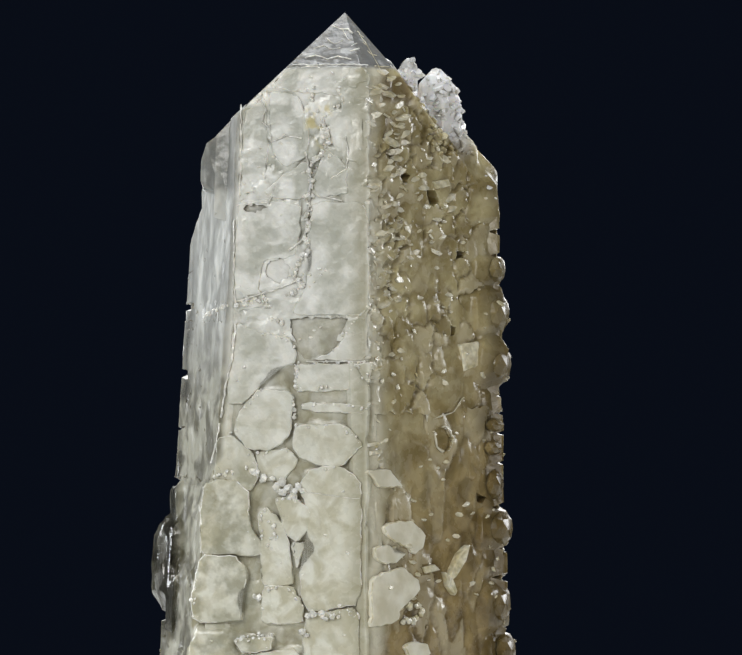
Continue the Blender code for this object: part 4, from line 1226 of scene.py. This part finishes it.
facing = add("ShaderNodeVectorMath", {"operation": "DOT_PRODUCT"}, {
    0: add("GeometryNodeInputNormal"), 1: take("Out")}, output=1)
scatter = add("GeometryNodeDistributePointsOnFaces", {"distribute_method": "POISSON"}, {
    "Mesh": take("Geometry"), "Selection": flake_tree.more(facing, take("Facing")),
    "Distance Min": take("Apart"), "Density Max": DENSEST, "Seed": take("Seed")})
place = add("GeometryNodeInputPosition")
above = flake_tree.vector("SUBTRACT", place, take("Lowest"))
below = flake_tree.vector("SUBTRACT", take("Highest"), place)
room = add("ShaderNodeSeparateXYZ", None, {0: flake_tree.vector("MINIMUM", above, below)})
inside = flake_tree.more(room.least(room.output(1)).least(room.output(2)), 0.0)
clumps = add("ShaderNodeTexNoise", {"noise_dimensions": "4D"}, {
    "Vector": place, "W": take("Seed"), "Scale": CLUMP_SCALE, "Detail": 2.0})
outside = flake_tree.logic("NOT", inside)
dropped = flake_tree.logic("OR", outside, flake_tree.more(take("Clumps"), clumps))
kept = add("GeometryNodeDeleteGeometry", {"domain": "POINT"}, {
    "Geometry": scatter, "Selection": dropped})

# %% Their shape, size and lean
flake = add("GeometryNodeMeshCylinder", None, {"Vertices": 6, "Radius": 1.0, "Depth": 0.7})
towards = add("FunctionNodeAlignRotationToVector", {"axis": "Z"}, {"Vector": take("Out")})
towards = add("FunctionNodeAlignRotationToVector", {"axis": "Y", "pivot_axis": "Z"}, {
    "Rotation": towards, "Vector": (0.0, 0.0, 1.0)})
lean, spread = take("Lean"), take("Lean spread")
turn = flake_tree.random_vector(
    flake_tree.along(0.0 - lean - spread, 0.0 - spread, -0.5),
    flake_tree.along(spread - lean, spread, 0.5), take("Seed") + 1.0)
turned = add("FunctionNodeRotateRotation", {"rotation_space": "LOCAL"}, {
    "Rotation": towards, "Rotate By": turn})
flake_size = flake_tree.random(take("Smallest"), take("Largest"), take("Seed") + 2.0)
flakes = add("GeometryNodeInstanceOnPoints", None, {
    "Points": kept, "Instance": flake, "Rotation": turned,
    "Scale": flake_tree.scaled(flake_tree.along(take("Wide"), 0.8, 0.8), flake_size)})
coloured = add("GeometryNodeSetMaterial", None, {"Geometry": flakes, "Material": take("Material")})
flake_tree.finish(flake_tree.one_shape(coloured), take("Material"))

# %% Sow the flakes
# The face, the distance apart, the lowest and highest corner of the box, the smallest
# and the largest, the width, the lean and its spread in radians, and the noise below
# which a place stays bare.
FLAKES = [
    ("right", 1.4, (2.5, -24, 58), (15, 2, 92), 0.2, 0.7, 2.0, 0.5, 0.5, 0.52),
    ("right", 1.2, (2.5, -24, 66), (8.5, 2, 90), 0.2, 0.74, 2.2, 0.5, 0.5, 0.5),
    ("right", 1.6, (5, -24, 12), (22, 4, 84), 0.15, 0.5, 1.7, 0.4, 0.6, 0.56),
    ("right", 1.3, (3, -24, 34), (8, 2, 66), 0.15, 0.5, 1.8, 0.4, 0.5, 0.52),
    ("left", 1.8, (-30, -20, 6), (-12, 20, 72), 0.15, 0.4, 0.7, 0.2, 0.5, 0.58),
    ("right_back", 1.5, (-30, -30, 6), (30, 30, 80), 0.2, 0.55, 1.5, 0.3, 0.4, 0.57),
    ("back", 1.6, (-30, -30, 6), (30, 30, 74), 0.3, 0.8, 1.5, 0.3, 0.4, 0.57),
    ("left_back", 1.6, (-18, -30, 6), (30, 30, 70), 0.3, 0.8, 1.5, 0.3, 0.4, 0.57),
    ("chips", 0.8, (7.4, -12, 80), (18, 4, 96), 0.3, 0.8, 1.0, 0.2, 1.3, 0.34),
    ("main", 0.9, (-15, -24, 50), (3.6, -10, 92), 0.14, 0.36, 1.3, 0.2, 0.8, 0.6),
    ("main", 1.0, (-20, -24, 2), (3.6, -10, 50), 0.14, 0.34, 1.3, 0.2, 0.8, 0.63),
]
CHIP_SIDE = compass(15.0)
FACING_FACE = 0.72
FACING_CHIPS = 0.2
# flakes on these faces take the white broken quartz: partly a painted glint
BRIGHT_ON = ("main", "right")

for number, row in enumerate(FLAKES):
    name, apart, lowest, highest, smallest, largest, wide, lean, spread, clumps = row
    out, facing = CHIP_SIDE, FACING_CHIPS
    if name in FACES:
        out, facing = FACES[name].out, FACING_FACE
    values = {
        "Apart": apart * MM, "Out": out, "Facing": facing,
        "Lowest": Vector(lowest) * MM, "Highest": Vector(highest) * MM,
        "Smallest": smallest * MM, "Largest": largest * MM, "Wide": wide, "Lean": lean,
        "Lean spread": spread, "Seed": number, "Clumps": clumps, "Material": broken_quartz_and_highlight}
    grow("flakes", put("flakes", crystal.data), flake_tree, values,
         broken_quartz_and_highlight if name in BRIGHT_ON else quartz)
cut_with(crystal, "UNION", growths)
cut_with(crystal, "INTERSECT", limits)
settle(crystal, list(growths.objects) + [limits])

# %% [markdown]
# ## Quartz
#
# Clear quartz is a glass with an index of 1.544. Where it holds fine bubbles and
# cracks it turns milky, and thin films of clay and iron in the last layers make it
# tan. So every finish here is a mix of two shaders, a clear one and a milky one, and
# a mask says how milky each place is. The masks are sums on the distance from each
# prism face, on the height, and on noise.

# %% A graph with the places of the crystal
QUARTZ_INDEX = 1.544
VEIL_REACH = 4.0
VEIL_SOFT = 0.4
ABSORBED = 24.0
IN_MM = 1000.0


def screen(colour):
    """A colour as it looks on a screen, 0 to 255, made linear."""
    return tuple(((c / 255 + 0.055) / 1.055) ** 2.4 if c > 10 else c / 255 / 12.92
                 for c in colour) + (1.0,)


class QuartzGraph(Graph):
    """A material's tree, with places measured in millimetres."""

    def __init__(self, material):
        material.use_nodes = True
        super().__init__(material.node_tree)
        self.name = material.name
        self.tree.nodes.clear()
        self.spot = self.node("ShaderNodeTexCoord", output=3)
        apart = self.node("ShaderNodeSeparateXYZ", None, {0: self.spot})
        self.x = apart * IN_MM
        self.y = apart.output(1) * IN_MM
        self.down = HEIGHT - apart.output(2) * IN_MM
        self.off = {name: self.outside(name) for name in PRISM}

    def outside(self, name):
        """Millimetres outside a prism face, negative inside."""
        angle, distance, flare = PRISM[name]
        side = compass(angle)
        slant = math.tan(math.radians(flare))
        return self.x * side.x + self.y * side.y - distance - (self.down - MIDDLE_DOWN) * slant

    def above(self, name):
        """Millimetres above a sloping face of the tip."""
        angle, slope, lift = TERMINATION[name]
        normal = sloping_normal(angle, slope)
        reach = normal.dot(TIP) + lift
        return (self.x * normal.x + self.y * normal.y
                + (HEIGHT - self.down) * normal.z - reach)

    def colours(self, share, one, two):
        """From one colour to the other. A tuple is a colour on a screen."""
        one, two = (screen(c) if isinstance(c, tuple) else c for c in (one, two))
        return self.node("ShaderNodeMix", {"data_type": "RGBA"}, {0: share, 6: one, 7: two},
                         output=2)

    def noise(self, size, detail, seed, tall=1.0, bend=0.0):
        """Noise with lumps of one size in millimetres, drawn out upwards if tall."""
        place = self.vector("MULTIPLY", self.spot, (1.0, 1.0, 1.0 / tall))
        return self.node("ShaderNodeTexNoise", {"noise_dimensions": "4D"}, {
            "Vector": place, "W": seed, "Scale": IN_MM / size, "Detail": detail,
            "Distortion": bend})

    def crevice_shade(self, reach):
        """1 in narrow channels, 0 on open faces: a mask for painting shade there."""
        seen = self.node("ShaderNodeAmbientOcclusion", {"samples": 6, "only_local": True},
                         {"Distance": reach * MM}, output=1)
        return 1.0 - seen

    def stored(self, name):
        """A number that the skins keep at each point."""
        return self.node("ShaderNodeAttribute", {"attribute_name": name}, output=2)

    def bump(self, strength, deep, height):
        return self.node("ShaderNodeBump", None, {
            "Strength": strength, "Distance": deep * MM, "Height": height})

    def finish(self, body, milk, rough, bump):
        """Clear and milky quartz, mixed."""
        milky = self.node("ShaderNodeBsdfPrincipled", None, {
            "Base Color": body, "Roughness": rough, "IOR": QUARTZ_INDEX,
            "Subsurface Weight": VEIL_SOFT, "Subsurface Radius": (1.0, 0.85, 0.65),
            "Subsurface Scale": VEIL_REACH * MM, "Normal": bump})
        clear = self.node("ShaderNodeBsdfPrincipled", None, {
            "Base Color": (0.97, 0.97, 0.96, 1.0), "Roughness": 0.06, "IOR": QUARTZ_INDEX,
            "Transmission Weight": 1.0, "Normal": bump})
        mixed = self.node("ShaderNodeMixShader", None, {0: milk, 1: clear, 2: milky})
        film = self.node("ShaderNodeVolumeAbsorption", None, {
            "Color": (0.82, 0.79, 0.70, 1.0), "Density": ABSORBED})
        out = self.tree.nodes.new("ShaderNodeOutputMaterial")
        self.connect(mixed, out.inputs["Surface"])
        self.connect(film, out.inputs["Volume"])
        print(self.name, "has", len(self.tree.nodes), "nodes")


# %% Where the body's sides begin
g = QuartzGraph(quartz)
off = g.off
drift = g.noise(9.0, 4.0, seed=11.0).over(0.2, 0.8, -4.0, 4.0)
behind = (g.y + drift * 1.2).over(-1.0, 7.0)
in_front = 1.0 - behind
past_right = off["right"] - off["main"]
past_left = off["left"] - off["main"]

# the right face's tan fades in over a few millimetres, and lower down further right
pale_edge = g.down.over(55.0, 60.0) * (88.0 - g.down).over(0.0, 3.0) * 1.3
to_right = (past_right + drift * 0.55 - pale_edge).over(-0.6, 5.2)
# the two lowest plates reach out past the left corner, and stay pale up to their rims
plates_reach = g.down.over(62.0, 65.0) * 2.6 + g.down.over(74.5, 77.0) * 0.9
to_left = (past_left - plates_reach).over(-0.5, 0.5) * in_front
to_left = to_left + (past_left + drift * 3.0).over(-9.0, 9.0) * behind
print("sides of the body:", ", ".join(off))

# %% The main face
# White veils above and cream ones below, olive in the channels between the plates, partly stain and
# partly painted shade.
veils = g.noise(5.0, 5.0, seed=1.0, bend=0.8).over(0.38, 0.62)
pale = g.colours(veils, (228, 229, 224), (184, 186, 176))
clouds = g.noise(3.4, 5.0, seed=12.0, bend=0.9).over(0.36, 0.64)
cloudy = g.colours(clouds, (226, 226, 214), (194, 191, 169))
pale = g.colours(g.down.over(38.0, 72.0), pale, cloudy)
# painted shade: the pale colour darkens in the creases between the scales
creases = g.stored("crease")
pale = g.colours(creases * 0.35, pale, (150, 148, 130))
pale = g.colours(g.x.over(-5.0, 4.0) * 0.35, pale, (190, 187, 166))
# greyer right beside the corner
beside = (g.x + drift * 0.25).over(-0.4, 2.4) * in_front
beside = beside * (off["main"] - off["right"]).over(-0.3, 0.3)
pale = g.colours(beside * 0.6, pale, (154, 150, 124))
low_left = g.down.over(60.0, 66.0) * (-11.0 - g.x).over(0.0, 2.0)
mottled = g.noise(2.2, 4.0, seed=15.0).over(0.38, 0.62, 0.1, 0.75)
pale = g.colours(low_left * mottled, pale, (148, 147, 126))

# the channels below the face are olive, partly stain and partly painted shade
channel = (off["main"] * -1.0).over(0.20, 0.42) * g.down.over(38.0, 54.0, 0.35, 0.85)
channel = channel * g.noise(3.0, 3.0, seed=13.0).over(0.34, 0.56, 0.45, 1.0)
olive = g.colours(g.noise(1.6, 3.0, seed=2.0).over(0.3, 0.7), (160, 155, 126), (120, 113, 84))
main_colour = g.colours(channel, pale, olive)

# gold stains beside the upper seam
across = (g.x + 3.6) * (1 / 2.4)
along = (g.down - 15.5) * (1 / 5.0)
near_seam = (1.0 - (across * across + along * along)).over(0.0, 0.7)
gold = near_seam * g.noise(1.7, 3.0, seed=9.0).over(0.47, 0.64) * in_front
main_colour = g.colours(gold * 0.6, main_colour, (204, 188, 112))

# a painted glow: light that enters the pale face and leaves again just round its right edge is
# painted there as a pale band
past_edge = past_right + drift * 0.15
painted_edge_glow = past_edge.over(0.2, 1.5) * (1.0 - past_edge.over(2.2, 5.0)) * in_front
main_colour = g.colours(painted_edge_glow * 0.7, main_colour, (240, 237, 218))
print("main face:", len(g.tree.nodes), "nodes so far")

# %% The right face
# Tan above and brown low down, each scale in its own tone, with painted shade in the creases.
tan = g.noise(5.0, 4.0, seed=3.0, bend=0.5).over(0.36, 0.64)
tan = g.colours(tan, (196, 185, 144), (144, 130, 88))
brown = g.noise(4.0, 5.0, seed=4.0, bend=0.7).over(0.37, 0.63)
brown = g.colours(brown, (164, 145, 101), (112, 95, 58))
tan = g.colours((g.down + g.x * 1.3).over(54.0, 98.0), tan, brown)
tan = g.colours(g.stored("tone").over(0.55, 1.0, 0.0, 0.6), tan, (196, 186, 156))
# painted shade: the tan darkens in the creases between the scales
tan = g.colours(creases * 0.45, tan, (96, 82, 54))
# a painted shadow under the edge below the tip, and the dark outline on the right
shadow_under_tip = (g.x - 4.6).over(0.0, 1.0) * (9.6 - g.x).over(0.0, 1.0) * (g.down - 8.6).over(0.0, 0.8)
shadow_under_tip = shadow_under_tip * (13.2 - g.down).over(0.0, 1.2)
tan = g.colours(shadow_under_tip * 0.7, tan, (104, 84, 44))
tan = g.colours((g.x - 18.6 + drift * 0.3).over(0.0, 3.0) * 0.75, tan, (84, 72, 42))
print("right face:", len(g.tree.nodes), "nodes so far")

# %% The left strip and the faces behind
# Grey with upright white streaks above, olive in patches below.
streaks = g.noise(3.0, 3.0, seed=7.0, tall=2.6, bend=0.5).over(0.4, 0.7) * (1.0 - behind * 0.55)
grey = g.colours(streaks, (152, 154, 149), (206, 208, 203))
patches = g.noise(4.5, 4.0, seed=14.0, bend=0.8).over(0.42, 0.60)
olive_grey = g.colours(patches, (84, 81, 58), (160, 159, 142))
grey = g.colours(g.down.over(38.0, 58.0), grey, olive_grey)
print("left strip:", len(g.tree.nodes), "nodes so far")

# %% The body's colour
body = g.colours(to_right * (1.0 - behind * 0.45), main_colour, tan)
body = g.colours(to_left, body, grey)
# the chips on the shoulder are broken and snow white
chips = g.above("right").most(g.above("right_back")).over(0.35, 0.7)
chips = chips * g.x.over(6.0, 7.4) * (30.0 - g.down + drift * 0.5).over(11.0, 15.0)
snow = g.colours(behind, (250, 251, 253), (196, 198, 194))
body = g.colours(chips * (1.0 - behind * 0.35), body, snow)
# painted shade: dark olive in crevices, where the surface is occluded
body = g.colours(g.crevice_shade(0.9).over(0.2, 0.7, 0.0, 0.7), body, (92, 84, 60))
tip = 1.0 - g.down.over(7.4, 8.3)
body = g.colours(tip, body, (186, 188, 188))
print("body's colour:", len(g.tree.nodes), "nodes so far")

# %% How milky the body is
# Clear at the tip between wisps, on the outermost lobes and on the shoulder's blades.
wisps = g.noise(3.2, 5.0, seed=8.0, tall=0.6, bend=1.2).over(0.52, 0.70)
milk = 0.95 - to_left * 0.12 + streaks * to_left * 0.1
milk = milk + tip * (wisps * 0.5 - 0.55)
far_left = 0.0 - g.x + drift * 0.12
lobes = (far_left - 21.2).over(0.0, 1.2) * (56.0 - g.down).over(0.0, 3.0) * 0.6
lobes = (far_left - 22.8).over(0.0, 1.6).most(lobes)
lobes = lobes * (1.0 - (g.y + drift * 0.5).over(1.0, 6.0) * 0.85) * (88.0 - g.down).over(0.0, 3.0)
shoulder = (-14.6 - g.x).over(0.0, 1.6) * (25.5 - g.down).over(0.0, 1.5)
milk = milk - lobes.most(shoulder * 0.45) * 0.8
milk = milk.most(chips * 0.96).most(0.08)
rough = g.noise(1.4, 2.0, seed=6.0).over(0.3, 0.7, 0.14, 0.4) + to_left * 0.28
g.finish(body, milk, rough, g.bump(0.34, 0.4, g.noise(1.5, 4.0, seed=5.0)))

# %% Pale plates
p = QuartzGraph(pale_quartz)
cream = p.colours(p.noise(2.4, 3.0, seed=1.0).over(0.3, 0.7), (238, 235, 219), (212, 207, 184))
# painted shade in the crevices round the plate
cream = p.colours(p.crevice_shade(0.6).over(0.3, 0.7, 0.0, 0.5), cream, (110, 100, 72))
p.finish(cream, 0.95, 0.28, p.bump(0.2, 0.3, p.noise(0.9, 3.0, seed=5.0)))

# %% Broken quartz
# White on the pale face and the tip, creamy on the right face. It is partly the real white of
# broken quartz and partly a painted highlight on glints, rims, ridges and crumbs.
b = QuartzGraph(broken_quartz_and_highlight)
white = b.colours(b.noise(0.9, 2.0, seed=1.0).over(0.3, 0.7), (252, 251, 245), (234, 232, 218))
cream = b.colours(b.noise(1.5, 2.0, seed=3.0).over(0.3, 0.7), (244, 238, 214), (206, 196, 158))
on_slope = b.above("right").most(b.above("right_back")).over(0.0, 0.4)
creamy = (b.off["right"] - b.off["main"]).over(-1.0, 2.0) * (1.0 - on_slope)
cloud = b.noise(0.7, 1.0, seed=2.0).over(0.35, 0.65, 0.72, 0.97)
b.finish(b.colours(creamy, white, cream), cloud, 0.2, b.bump(0.3, 0.3, b.noise(0.4, 2.0, seed=5.0)))

# %% [markdown]
# ## Last steps
#
# Gentle waves are shaded smooth and real edges stay sharp.

# %% Smooth and sharp
SHARP_FROM = 18

shape = crystal.data
shape.polygons.foreach_set("use_smooth", [True] * len(shape.polygons))
shape.set_sharp_from_angle(angle=math.radians(SHARP_FROM))
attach(crystal, "root")
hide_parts("quartz_crystal")
